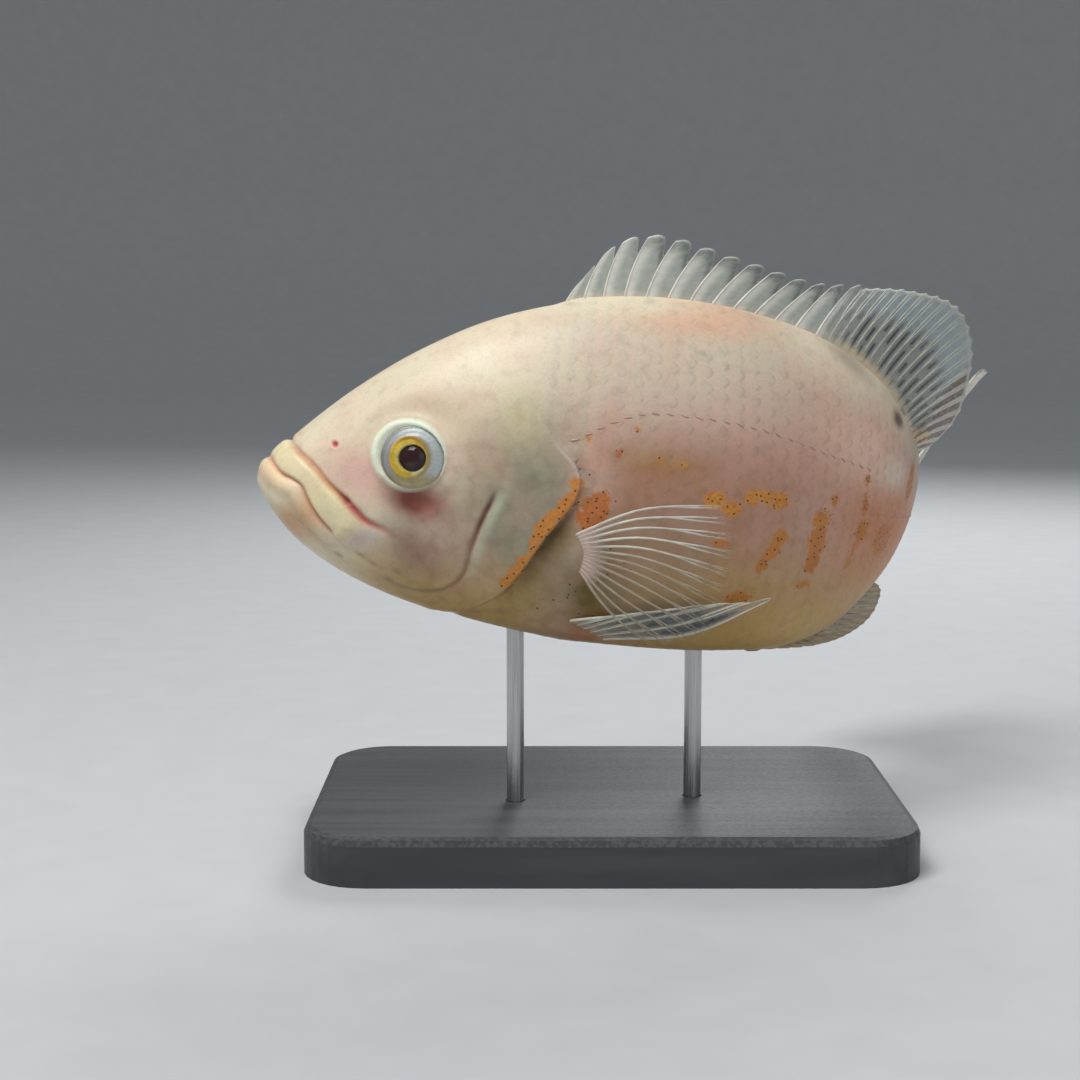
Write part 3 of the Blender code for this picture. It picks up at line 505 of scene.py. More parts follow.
def store(piece, name, values):
    """Keeps a number, a vector of three or a colour of four for each point."""
    values = np.ascontiguousarray(values, dtype=np.float32).ravel()
    kind, field = KINDS[len(values) // len(piece.data.vertices)]
    layer = piece.data.attributes.get(name) or piece.data.attributes.new(name, kind, "POINT")
    layer.data.foreach_set(field, values)


def values_of(data, field="vector", width=3):
    values = np.empty(len(data) * width, dtype=np.float32)
    data.foreach_get(field, values)
    return values.reshape(-1, width).astype(float)


def read(piece, name):
    return values_of(piece.data.attributes[name].data)


def triangles(*pieces):
    return sum(len(face.vertices) - 2 for piece in pieces for face in piece.data.polygons)


# %% Make the skin
rings, around = skin_points.shape[:2]
tip = np.array([[skin_points[0, :, 0].min() - 0.1 * MM, 0.0, skin_points[0, :, 2].mean()]])
straight = np.concatenate([skin_points.reshape(-1, 3), tip])
faces = net_faces(rings, around)[:, ::-1].tolist()
faces += [(rings * around, (c + 1) % around, c) for c in range(around)]
faces.append([(rings - 1) * around + c for c in range(around)])
skin = new_mesh_object("skin", posed(bend(straight)), faces)
flat = np.concatenate([smooth_points.reshape(-1, 3), tip]) / MM
store(skin, "flat", flat)
store(skin, "out", values_of(skin.data.vertex_normals))
print("skin:", triangles(skin), "triangles")

# %% [markdown]
# The colours of the fish, as layers of paint
#
# A painter lays a pale ground first, then glazes: pink over the flank, tan under the belly, grey-green on the
# gill cover, and a red tint under the eye that is partly painted shade. A few glazes are painted light and
# shade: a shadow behind the gill cover, shade along the mouth, and light on the upper rear flank and on top
# of the tail stem. Each glaze is one colour and one soft shape, written in the straight fish's millimetres,
# so the markings stay in place however the fish bends. Plain glazes are rows of a table, and those that
# follow a line of the head have functions of their own. The colours are named in the usual 0 to 255 and are
# turned into light values by one helper.

# %% Named colours
def paint(red, green, blue):
    channels = np.array([red, green, blue]) / 255.0
    light = np.where(channels <= 0.04045, channels / 12.92, ((channels + 0.055) / 1.055) ** 2.4)
    return (*light, 1.0)


CREAM = paint(238, 226, 196)
SHOULDER = paint(216, 199, 178)
FLANK_PINK = paint(206, 172, 157)
FLANK_DUSK = paint(170, 126, 100)
REAR_PINK = paint(212, 168, 148)
STEM_ORANGE = paint(212, 128, 66)
BELLY_TAN = paint(200, 164, 98)
CHEST_OLIVE = paint(112, 94, 28)
CHEEK_GREY = paint(176, 163, 145)
GILL_GREEN = paint(152, 147, 126)
SNOUT_PINK = paint(230, 194, 176)
LIP_CREAM = paint(246, 236, 190)
LIP_PEACH = paint(255, 230, 188)
LIP_TAN = paint(208, 172, 136)
UNDER_EYE_RED_AND_SHADE = paint(132, 68, 56)
COLLAR_PALE = paint(240, 250, 226)
SLOT_RED = paint(186, 74, 72)
SLIT_BROWN = paint(112, 52, 42)
BASE_PINK = paint(222, 196, 186)
VENT_PINK = paint(196, 122, 100)
BACK_PEACH = paint(234, 192, 160)
GREY_SMUDGE = paint(132, 124, 112)
print("cream as light values:", [round(float(v), 2) for v in CREAM[:3]])

# %% Soft shapes for the glazes
def leaning_oval(x, z, centre, size, turn):
    """0 in the middle and 1 on the edge of an oval. The turn, in degrees, leans its top backwards."""
    cos, sin = math.cos(math.radians(turn)), math.sin(math.radians(turn))
    along, up = x - centre[0], z - centre[1]
    return oval(along * cos - up * sin, along * sin + up * cos, (0.0, 0.0), size)


def spot(x, z, centre, size, turn=0.0):
    """1 in the middle of an oval patch, and 0 outside it."""
    return fade(1.0, 0.0, leaning_oval(x, z, centre, size, turn))


def glaze(ground, colour, amount):
    return ground + (colour - ground) * np.clip(amount, 0.0, 1.0)[..., None]


def coats(tone, x, z, high, rows):
    """Lays coats in turn. A coat has a colour, a strength and the soft shapes that bound it.

    A shape is an oval (centre, half widths, turn), or an edge (x or high, where it starts, where it is full).
    """
    for colour, strength, *shapes in rows:
        amount = 1.0
        for kind, first, second in shapes:
            if kind in ("x", "high"):
                amount = amount * fade(first, second, x if kind == "x" else high)
            else:
                amount = amount * spot(x, z, kind, first, second)
        tone = glaze(tone, colour, amount * strength)
    return tone


def relative_height(x, z):
    back, belly, _, _ = section(x * MM)
    return np.clip((z * MM - belly) / np.maximum(back - belly, 1e-4), 0.0, 1.0)


# %% Paint the ground colours
TRUNK_COATS = (
    (SHOULDER, 0.8, ("x", 50, 90)),
    (FLANK_PINK, 0.95, ("high", 0.90, 0.56), ("x", 58, 98)),
    (FLANK_DUSK, 0.95, ("high", 0.74, 0.50), ("x", 76, 92), ("x", 150, 122)),
    (REAR_PINK, 1.0, ("x", 105, 155), ("high", 0.96, 0.72)),
    (STEM_ORANGE, 0.9, ("x", 130, 164), ("high", 0.78, 0.45)),
    (BELLY_TAN, 0.95, ("high", 0.44, 0.10), ("x", 52, 80), ("x", 192, 150)),
    (CHEST_OLIVE, 1.25, ((78.0, -21.0), (25.0, 16.0), 0)),
    (BACK_PEACH, 0.9, ((104.0, 50.0), (36.0, 8.0), 0)),
    # Painted light: a paler upper rear flank, where the body turns away from the lamp
    (paint(252, 212, 190), 0.95, ((152.0, 23.0), (27.0, 17.0), 16)),
    (paint(222, 184, 112), 0.7, ((134.0, -27.0), (26.0, 11.0), -12)),
    (paint(170, 124, 74), 0.75, ((96.0, 14.8), (18.0, 5.6), 4)),
    # Painted light: a pale patch on top of the tail stem, lit from above
    (paint(246, 226, 204), 0.85, ((163.0, 16.8), (10.5, 7.0), 0)),
    (CREAM, 0.8, ("high", 0.93, 0.99), ("x", 66, 76), ("x", 110, 92)),
    (paint(252, 238, 208), 0.7, ("high", 0.80, 0.96), ("x", 122, 142), ("x", 178, 168)),
    (GREY_SMUDGE, 0.55, ((146.0, 43.5), (13.0, 4.5), 30)),
    (paint(82, 74, 66), 1.3, ((164.4, 30.3), (5.2, 3.4), 12)),
    (BASE_PINK, 0.8, ((194.0, 4.0), (13.0, 14.0), 0)),
    (GREY_SMUDGE, 0.6, ((104.3, 41.9), (1.6, 1.2), 0)),
    (paint(202, 130, 108), 0.35, ((82.0, 16.5), (22.0, 5.0), -75)),
    (BASE_PINK, 0.7, (PECTORAL_BASE, (3.4, 6.4), 0)),
    (VENT_PINK, 0.75, ((83.0, -29.5), (15.0, 4.5), 0)),
)
HEAD_COATS = (
    (CHEEK_GREY, 1.0, ("high", 0.60, 0.36), ("x", 26, 40), ("x", 84, 70)),
    (paint(170, 156, 130), 0.8, ("high", 0.80, 0.56), ("x", 44, 56), ("x", 84, 74)),
    (paint(216, 198, 168), 0.8, ((38.0, 20.0), (26.0, 13.0), -25)),
    (SNOUT_PINK, 1.2, ((27.0, 5.0), (15.0, 11.0), 20)),
)
JAW_SMUDGES = ((23.0, -16.2), (28.6, -15.4), (31.6, -17.2), (38.0, -18.5), (36.0, -21.0))
JAW_COATS = (
    (paint(205, 196, 150), 0.6, ((64.0, 22.0), (9.0, 10.0), 0)),
    (BELLY_TAN, 0.85, ("high", 0.34, 0.04), ("x", 14, 40), ("x", 84, 66)),
    (paint(216, 205, 192), 1.1, ((29.0, -10.5), (8.5, 5.0), -35)),
    (paint(214, 168, 122), 0.9, ((12.0, -8.5), (17.0, 9.0), -40)),
    (paint(140, 86, 84), 0.5, ((41.8, -12.2), (12.0, 7.0), 40)),
    *((paint(138, 116, 76), 0.6, (place, (2.2, 1.0), 25)) for place in JAW_SMUDGES),
)


def ground_tones(x, z, high):
    bare = np.broadcast_to(CREAM, x.shape + (4,))
    return coats(bare, x, z, high, TRUNK_COATS + HEAD_COATS)


def head_tones(tone, x, z, high):
    """The green plate of the gill cover, a painted shadow behind it, the jaw, and the plate's pale edge."""
    away, share, side = near_path(x, z, GILL_EDGE, 50)
    on_cover = (side < 0) * spot(x, z, (66.0, -1.0), (17.0, 27.0), 18) * fade(55.0, 60.0, x + 0.28 * z)
    tone = glaze(tone, GILL_GREEN, on_cover * 1.5 * (x < 82.0))
    pale_edge = (side < 0) * bell(away - 0.25, 0.40) * fade(0.10, 0.19, share) * fade(0.31, 0.25, share)
    # A painted shadow behind the free edge of the gill cover
    behind = (side > 0) * bell(away, 2.4) * fade(16.0, 9.0, z) * fade(-24.0, -16.0, z)
    tone = glaze(tone, paint(140, 100, 76), behind * 0.75)
    olive = (side > 0) * fade(3.0, -5.0, z) * fade(-27.0, -18.0, z)
    tone = glaze(tone, paint(110, 92, 36), olive * bell(away, 7.0) * 0.85)
    tone = glaze(tone, paint(78, 58, 18), olive * bell(away, 2.8) * 0.75)
    tone = coats(tone, x, z, high, JAW_COATS)
    return glaze(tone, paint(226, 228, 224), pale_edge * 0.6)


def lip_tones(tone, x, z):
    to_mouth, _, above = near_path(x, z, MOUTH, 40)
    to_groove, _, over = near_path(x, z, LIP_GROOVE, 36)
    down_lip = down_the_lip(x, z)
    upper = ((above > 0) & (over < 0)) * fade(0.0, 0.8, to_mouth) * fade(26.0, 21.0, down_lip)
    tone = glaze(tone, LIP_CREAM, upper * 0.95)
    lower = (above < 0) * fade(6.5, 3.0, to_mouth) * fade(27.0, 20.0, down_lip)
    tone = glaze(tone, LIP_PEACH, lower * fade(16.0, 6.0, x) * 0.95)
    tone = glaze(tone, LIP_TAN, lower * fade(6.0, 16.0, x) * fade(2.5, 4.5, to_mouth) * 0.9)
    # A pinkish line along the mouth: partly the lips' own colour, partly painted shade in the crease
    tone = glaze(tone, paint(206, 136, 104), bell(to_mouth, 0.6) * fade(25.0, 20.0, down_lip) * 0.75)
    groove = bell(to_groove, 0.6) * fade(5.0, 12.0, x) * fade(27.0, 23.0, x)
    return glaze(tone, paint(208, 132, 82), groove * 0.9)


def line_tones(tone, x, z):
    away, share, _ = near_path(x, z, LIP_SLOT, 36)
    tone = glaze(tone, SLOT_RED, bell(away, 0.95) * fade(0.12, 0.30, share) * fade(0.95, 0.45, share))
    away, share, side = near_path(x, z, CHEEK_SLIT, 44)
    behind = (side > 0) * bell(away - 1.7, 1.2) * fade(-0.02, 0.04, share) * fade(0.50, 0.36, share)
    tone = glaze(tone, paint(204, 210, 186), behind * 0.6)
    tone = glaze(tone, SLIT_BROWN, bell(away, 0.6) * fade(0.03, 0.10, share) * fade(0.42, 0.20, share) * 0.9)
    lower_part = bell(away, 0.5) * fade(0.25, 0.5, share) * fade(1.0, 0.7, share)
    tone = glaze(tone, paint(132, 112, 92), lower_part * 0.6)
    from_eye = distance(x, z, EYE, EYE_FLATNESS)
    from_collar = distance(x, z, COLLAR, EYE_FLATNESS)
    # A red tint under the eye: partly its own colour, partly painted shade below the eye
    shade = spot(x, z, (41.0, -0.2), (12.5, 7.0), 10) * fade(8.4, 9.2, from_collar)
    tone = glaze(tone, UNDER_EYE_RED_AND_SHADE, shade * 1.25)
    tone = glaze(tone, SNOUT_PINK, spot(x, z, (48.5, 11.0), (5.0, 8.0)) * 0.5)
    collar = fade(9.7, 8.8, from_collar) * fade(7.2, 7.7, from_eye)
    tone = glaze(tone, COLLAR_PALE, collar)
    low_collar = collar * fade(2.0, -8.0, (z - EYE[1]) - 0.4 * (x - EYE[0]))
    tone = glaze(tone, paint(196, 186, 156), low_collar * 0.6)
    tone = glaze(tone, paint(166, 160, 164), fade(7.7, 7.4, from_eye))
    return glaze(tone, paint(206, 66, 80), fade(1.1, 0.4, distance(x, z, NOSTRIL)))


# %% [markdown]
# The orange marks
#
# Oscars carry irregular orange marks with tiny black dots in them. Each mark is an oval with a centre and two
# half widths, leaned by some degrees, and a number that tells how red it is. What is stored on the skin is
# how far inside a mark each point is, in millimetres. The material later roughens that with noise and cuts it
# at zero, which gives crisp, ragged edges that don't depend on how fine the mesh is.

# %% Marks on the left flank, from the gill cover backwards
MARKS = (
    ((82.8, 2.2), (3.1, 5.3), 24, 0.85), ((86.8, 16.6), (1.2, 0.9), 0, 0.95),
    ((79.8, 18.7), (0.6, 0.6), 0, 0.0), ((95.6, 15.3), (0.9, 0.9), 0, 0.4),
    ((101.1, 15.2), (1.3, 0.8), 0, 0.2), ((90.4, 22.4), (1.0, 0.7), 0, 0.3),
    ((108.6, 7.2), (2.6, 2.3), 0, 0.1), ((112.8, 5.0), (2.0, 2.1), 30, 0.2),
    ((117.2, 8.4), (1.6, 2.3), 20, 0.2), ((120.9, 8.7), (1.7, 2.0), 0, 0.15),
    ((124.2, 8.0), (2.2, 2.6), 0, 0.25), ((103.4, -4.3), (1.2, 0.9), 0, 0.1),
    ((111.2, -3.4), (1.8, 1.4), 0, 0.6), ((125.5, -1.4), (1.9, 2.4), 20, 0.4),
    ((123.9, -4.8), (1.8, 2.8), 24, 0.4), ((121.8, -8.5), (1.4, 1.8), 20, 0.6),
    ((136.4, 4.0), (2.4, 2.8), 10, 0.35), ((136.2, -1.8), (2.9, 4.2), 4, 0.45),
    ((135.6, -7.2), (2.2, 2.8), 12, 0.6), ((134.2, -12.8), (2.2, 1.2), 0, 0.4),
    ((151.2, 1.4), (2.2, 3.2), 14, 0.5), ((151.0, 8.6), (1.1, 2.8), 4, 0.6),
    ((150.7, 14.8), (1.2, 1.4), 0, 0.5), ((140.0, 9.0), (1.3, 1.5), 0, 0.5),
    ((149.4, -3.6), (1.1, 1.6), 20, 0.5), ((148.6, -7.2), (0.9, 1.3), 0, 0.4),
    ((162.6, -1.0), (4.6, 4.2), 0, 0.6), ((117.5, -17.6), (3.2, 2.4), -20, 0.35),
    ((174.4, 14.0), (2.6, 5.6), 14, 0.6), ((184.0, 1.0), (2.0, 4.0), 20, 0.5),
)
RIGHT_SHIFT = (3.0, -1.5)
# Half width of the orange band along the gill cover's edge, and the shares of the edge where it changes, over
# which length and by how much
BAND_WIDTH = 1.45
BAND_CHANGES = ((0.30, 0.06, -0.35), (0.45, 0.05, 0.45), (0.535, 0.03, -0.5))


def orange_field(x, z, left):
    """How far inside an orange mark each point is, in millimetres, and how red that mark is."""
    depth, red = np.full(x.shape, -9.0), np.zeros(x.shape)
    u = np.where(left, x, x + RIGHT_SHIFT[0])
    w = np.where(left, z, z + RIGHT_SHIFT[1])
    for centre, size, turn, redness in MARKS:
        inside = (1.0 - leaning_oval(u, w, centre, size, turn)) * min(size)
        red = np.where(inside > depth, redness, red)
        depth = np.maximum(depth, inside)
    away, share, side = near_path(x, z, GILL_EDGE, 60)
    ahead = -side * away
    wide = BAND_WIDTH + sum(more * bell(share - at, length) for at, length, more in BAND_CHANGES)
    band = wide - np.abs(ahead - wide) - 3.0 * fade(0.27, 0.22, share) - 3.0 * fade(0.66, 0.71, share)
    red = np.where(band > depth, 0.35, red)
    return np.maximum(depth, band), red


CHEST_SPECKS = (((78.0, -19.0), (12.0, 8.0)), ((90.0, -12.0), (9.0, 9.0)))


def speck_field(x, z, depth):
    """Where small dark dots lie: many in the orange marks, a few on the chest."""
    few = sum(spot(x, z, centre, size) for centre, size in CHEST_SPECKS)
    return np.clip(0.62 * fade(-0.2, 0.4, depth) + 0.22 * few, 0.0, 1.0)


def paint_piece(piece):
    """Stores every colour layer of the straight fish on a piece that carries flat coordinates."""
    flat = read(piece, "flat")
    x, z, left = flat[:, 0], flat[:, 2], flat[:, 1] < 0
    high = relative_height(x, z)
    tone = head_tones(ground_tones(x, z, high), x, z, high)
    tone = line_tones(lip_tones(tone, x, z), x, z)
    depth, red = orange_field(x, z, left)
    store(piece, "tone", tone)
    store(piece, "orange_depth", depth)
    store(piece, "orange_red", red)
    store(piece, "specks", speck_field(x, z, depth))
    store(piece, "cheek", fade(0.72, 0.56, high) * fade(34.0, 44.0, x) * fade(86.0, 78.0, x))
    net = fade(84.0, 112.0, x) * fade(0.14, 0.36, high) * fade(0.94, 0.78, high)
    store(piece, "netting", 0.35 + 0.65 * net)


paint_piece(skin)
print("painted", len(skin.data.vertices), "points of the skin;", len(MARKS), "orange marks a side")

# %% [markdown]
# Wiring a material in a few lines
#
# A node material is a small graph. One helper makes a node, sets its choices and either links or fills its
# inputs. On top of it come a few everyday ones: arithmetic, mixing two colours, noise, a value stored on the
# points, and a bump wired to the shader. Every number that is the same all over a surface is set straight on
# the shader, so nothing is lost when the model is exported.

# %% Material helpers
def node(tree, kind, inputs=None, **choices):
    made = tree.nodes.new(kind)
    for name, value in choices.items():
        setattr(made, name, value)
    for key, value in (inputs or {}).items():
        if isinstance(value, bpy.types.NodeSocket):
            tree.links.new(value, made.inputs[key])
        else:
            made.inputs[key].default_value = value
    return made


def maths(tree, operation, a, b=0.0):
    return node(tree, "ShaderNodeMath", {0: a, 1: b}, operation=operation).outputs[0]


def product(tree, first, *factors):
    for factor in factors:
        first = maths(tree, "MULTIPLY", first, factor)
    return first


def mixed(tree, amount, a, b, mode="MIX"):
    made = node(tree, "ShaderNodeMix", {0: amount, 6: a, 7: b}, data_type="RGBA", blend_type=mode)
    return made.outputs[2]


def between(tree, value, low, high, out_low=0.0, out_high=1.0):
    """Maps low..high smoothly to out_low..out_high and stays there outside."""
    inputs = {"Value": value, "From Min": low, "From Max": high, "To Min": out_low, "To Max": out_high}
    return node(tree, "ShaderNodeMapRange", inputs, interpolation_type="SMOOTHSTEP").outputs[0]


def stored(tree, name, output="Fac"):
    return node(tree, "ShaderNodeAttribute", attribute_name=name).outputs[output]


def noise(tree, place, scale, detail=2.0):
    return node(tree, "ShaderNodeTexNoise", {"Vector": place, "Scale": scale, "Detail": detail}).outputs[0]


def object_place(tree):
    return node(tree, "ShaderNodeTexCoord").outputs["Object"]


def new_material(name, roughness, specular=0.5, coat=0.0, coat_roughness=0.1):
    material = bpy.data.materials.new(name)
    material.use_nodes = True
    shader = material.node_tree.nodes["Principled BSDF"]
    shader.inputs["Roughness"].default_value = roughness
    shader.inputs["Specular IOR Level"].default_value = specular
    shader.inputs["Coat Weight"].default_value = coat
    shader.inputs["Coat Roughness"].default_value = coat_roughness
    return material, material.node_tree, shader


def wire(tree, shader, tone, height=None, strength=0.0, distance=0.0002):
    """Links a colour to the shader and, through a bump, a height in shares of the distance."""
    tree.links.new(tone, shader.inputs["Base Color"])
    if height is not None:
        bump = node(tree, "ShaderNodeBump", {"Strength": strength, "Distance": distance, "Height": height})
        tree.links.new(bump.outputs[0], shader.inputs["Normal"])


# %% [markdown]
# The skin's material
#
# Oscar skin is pale and slightly translucent, with a slime coat that is moist rather than glassy. Over the
# painted tones go three sizes of mottling, the ragged orange marks with a redder heart, the black dots, and
# a darker tint along the free edges of the scales. Fine bumps break up the highlight as real skin does.

# %% Skin material
def skin_material():
    material, tree, shader = new_material("oscar_skin", 0.42, specular=0.30, coat=0.09, coat_roughness=0.22)
    flat = stored(tree, "flat", "Vector")
    split = node(tree, "ShaderNodeSeparateXYZ", {0: flat})
    swapped = {0: split.outputs[0], 1: split.outputs[2], 2: split.outputs[1]}
    sheet = node(tree, "ShaderNodeCombineXYZ", swapped).outputs[0]
    tone = stored(tree, "tone", "Color")
    broad = noise(tree, flat, 0.085, 3.0)
    tone = mixed(tree, between(tree, broad, 0.42, 0.68, 0.0, 0.22), tone, paint(226, 176, 158))
    tone = mixed(tree, between(tree, broad, 0.46, 0.28, 0.0, 0.14), tone, paint(214, 206, 176))
    cloud = noise(tree, flat, 0.32, 4.0)
    tone = mixed(tree, between(tree, cloud, 0.48, 0.72, 0.0, 0.13), tone, paint(156, 128, 112), "MULTIPLY")
    grain = noise(tree, flat, 1.7, 3.0)
    tone = mixed(tree, between(tree, grain, 0.35, 0.75, 0.0, 0.13), tone, paint(186, 160, 144), "MULTIPLY")

    plates = node(tree, "ShaderNodeTexVoronoi", {"Vector": sheet, "Scale": 0.28}, voronoi_dimensions="2D")
    buried = product(tree, between(tree, plates.outputs["Distance"], 0.3, 0.8), stored(tree, "cheek"), 0.16)
    tone = mixed(tree, buried, tone, paint(168, 128, 118), "MULTIPLY")

    ragged = product(tree, maths(tree, "SUBTRACT", noise(tree, sheet, 0.75, 4.0), 0.5), 3.4)
    depth = maths(tree, "ADD", stored(tree, "orange_depth"), ragged)
    inside = between(tree, depth, -0.45, 0.55, 0.0, 0.86)
    red = stored(tree, "orange_red")
    orange = mixed(tree, red, paint(220, 156, 54), paint(176, 84, 28))
    orange = mixed(tree, between(tree, noise(tree, sheet, 1.4), 0.42, 0.66), orange, paint(200, 116, 38))
    tone = mixed(tree, inside, tone, orange)

    dots = node(tree, "ShaderNodeTexVoronoi", {"Vector": sheet, "Scale": 0.62}, voronoi_dimensions="2D")
    lot = node(tree, "ShaderNodeSeparateColor", {0: dots.outputs["Color"]}).outputs[0]
    kept = maths(tree, "LESS_THAN", lot, stored(tree, "specks"))
    dot = product(tree, between(tree, dots.outputs["Distance"], 0.19, 0.12), kept, 0.85)
    tone = mixed(tree, dot, tone, paint(52, 36, 30))

    uneven = between(tree, noise(tree, flat, 0.5), 0.25, 0.65)
    rim = product(tree, stored(tree, "rim"), stored(tree, "netting"), uneven, 0.30)
    wire(tree, shader, mixed(tree, rim, tone, paint(150, 104, 94)), noise(tree, flat, 3.2, 4.0), 0.13)
    shader.inputs["Subsurface Weight"].default_value = 0.14
    shader.inputs["Subsurface Radius"].default_value = (1.0, 0.45, 0.28)
    shader.inputs["Subsurface Scale"].default_value = 0.0012
    return material


SKIN = skin_material()
skin.data.materials.append(SKIN)
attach(skin, "root")
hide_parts("head", "upper_lip", "lower_jaw",
            "gill_cover_left", "gill_cover_right", "trunk", "tail_stem")
print("skin material has", len(SKIN.node_tree.nodes), "nodes")

# %% [markdown]
# Growing things on a surface with Geometry Nodes
#
# A scale is made once and set on hundreds of places. Geometry Nodes does that well: a tree takes points that
# know their direction, puts an instance on each, and turns the instances into real mesh. The helpers below
# start a tree with named inputs, and run it on a piece. The result replaces the piece's mesh, because only
# plain meshes are kept.

# %% Geometry Nodes helpers
SOCKETS = {"geometry": "NodeSocketGeometry", "object": "NodeSocketObject", "number": "NodeSocketFloat",
           "count": "NodeSocketInt", "material": "NodeSocketMaterial"}


def start_tree(name, **inputs):
    """A tree with a geometry input, the named inputs and a geometry output; returns it and its input node."""
    tree = bpy.data.node_groups.new(name, "GeometryNodeTree")
    tree.interface.new_socket("Geometry", in_out="OUTPUT", socket_type=SOCKETS["geometry"])
    tree.interface.new_socket("Geometry", in_out="INPUT", socket_type=SOCKETS["geometry"])
    for title, kind in inputs.items():
        tree.interface.new_socket(title, in_out="INPUT", socket_type=SOCKETS[kind])
    return tree, tree.nodes.new("NodeGroupInput")


def end_tree(tree, geometry, material):
    """Gives the finished geometry its material and passes it on."""
    painted = node(tree, "GeometryNodeSetMaterial", {"Geometry": geometry, "Material": material})
    end = tree.nodes.new("NodeGroupOutput")
    tree.links.new(painted.outputs[0], end.inputs[0])


def named(tree, name, kind="FLOAT"):
    """The value of this name that is stored on each point."""
    return node(tree, "GeometryNodeInputNamedAttribute", {"Name": name}, data_type=kind).outputs["Attribute"]


def grow(piece, tree, **values):
    """Runs the tree on the piece and keeps the result as the piece's own plain mesh."""
    modifier = piece.modifiers.new(tree.name, "NODES")
    modifier.node_group = tree
    for item in tree.interface.items_tree:
        if item.in_out == "INPUT" and item.name in values:
            modifier[item.identifier] = values[item.name]
    evaluated = piece.evaluated_get(bpy.context.evaluated_depsgraph_get())
    mesh = bpy.data.meshes.new_from_object(evaluated)
    piece.modifiers.clear()
    before = piece.data
    piece.data = mesh
    bpy.data.meshes.remove(before)
    mesh.name = piece.name
    return piece


def discard(piece):
    mesh = piece.data
    bpy.data.objects.remove(piece)
    bpy.data.meshes.remove(mesh)


print("tree inputs may be:", ", ".join(SOCKETS))

# %% [markdown]
# One scale
#
# A fish scale is a thin plate, rooted in the skin at the front and free along its round rear edge. The
# prototype is a small grid of five by six points with a low wall behind and one face below. How high each
# point stands over the skin is also kept as the value rise, and the tree applies it again once it knows where
# the skin is. The value rim is 1 along the free edge and is used for colour. The value patch is the point's
# place on a flat drawing of the scale.

# %% The prototype scale
SCALE_LENGTH = 6.2
SCALE_WIDTH = 4.5
SCALE_AHEAD = 0.6
EDGE_HEIGHT = 0.075
ROOTED = 0.2
SHARES_ALONG = (0.0, 0.3, 0.55, 0.76, 0.91, 1.0)
SHARES_ACROSS = (-1.0, -0.58, 0.0, 0.58, 1.0)


def scale_prototype():
    u, v = np.meshgrid(SHARES_ALONG, SHARES_ACROSS, indexing="ij")
    narrowing = 0.80 + 0.36 * np.sin(math.pi * np.clip(u, 0.0, 1.0) * 0.82) - 0.22 * u**4
    x = SCALE_LENGTH * (u * (1 - 0.24 * v * v * u) - SCALE_AHEAD)
    y = SCALE_WIDTH / 2 * v * narrowing
    rise = -0.10 + (EDGE_HEIGHT + 0.10) * u * (1 - 0.5 * v * v)
    rim = np.maximum(fade(0.72, 1.0, u), fade(0.6, 1.0, np.abs(v)) * fade(0.35, 0.75, u))
    rows, columns = u.shape
    top = np.stack([x, y, rise], axis=2).reshape(-1, 3) * MM
    under = top[-columns:] * (1, 1, 0) - (0, 0, ROOTED * MM)
    faces = []
    for r in range(rows - 1):
        faces += [(r * columns + c, (r + 1) * columns + c, (r + 1) * columns + c + 1, r * columns + c + 1)
                  for c in range(columns - 1)]
    edge, low = (rows - 1) * columns, rows * columns
    faces += [(edge + c, low + c, low + c + 1, edge + c + 1) for c in range(columns - 1)]
    left_side = [r * columns for r in range(rows)]
    right_side = [r * columns + columns - 1 for r in range(rows - 1, -1, -1)]
    underside = list(range(low, low + columns))
    faces.append(list(range(columns - 1, 0, -1)) + left_side + underside + right_side[:-1])
    plate = new_mesh_object("scale_prototype", np.concatenate([top, under]), faces)
    face_outwards(plate)
    plate.data.set_sharp_from_angle(angle=math.radians(50))
    store(plate, "rise", np.concatenate([rise.ravel(), np.full(columns, -ROOTED)]))
    store(plate, "rim", np.concatenate([rim.ravel(), np.ones(columns)]))
    patch = np.stack([u.ravel(), v.ravel() / 2 + 0.5, np.zeros(u.size)], axis=1)
    store(plate, "patch", np.concatenate([patch, patch[-columns:]]))
    return plate


plate = scale_prototype()
print("one scale has", triangles(plate), "triangles")

# %% [markdown]
# Rows of scales
#
# Scales sit in oblique rows: each column is half a row out of step with the next. The rows are counted from
# the widest level of the flank, so they run on smoothly from shoulder to tail and end only along the back and
# the belly. Towards the slim tail stem the scales shrink with the square root of the girth, as real ones do.

# %% Lay out the scales of one side
SCALES_START = 62.0 * MM
SCALES_END = 197.5 * MM
COLUMN_STEP = 3.9
ROW_STEP = 4.15
LEAST_COVER = 0.12
FULLEST = float(half_outline(0.49 * BODY_LENGTH)[2][-1])


def row_points(along, rows):
    """Straight points on the left flank for row numbers counted down from the widest level."""
    y, z, walked = half_outline(along)
    level = float(section(along)[3])
    middle = np.interp(-level, -z, walked)
    step = ROW_STEP * MM * math.sqrt(walked[-1] / FULLEST)
    at = middle + rows * step
    inside = (at > 0.35 * step) & (at < walked[-1] - 0.35 * step)
    places = (np.full(len(rows), along), -np.interp(at, walked, y), np.interp(at, walked, z))
    return np.stack(places, axis=1), inside, at


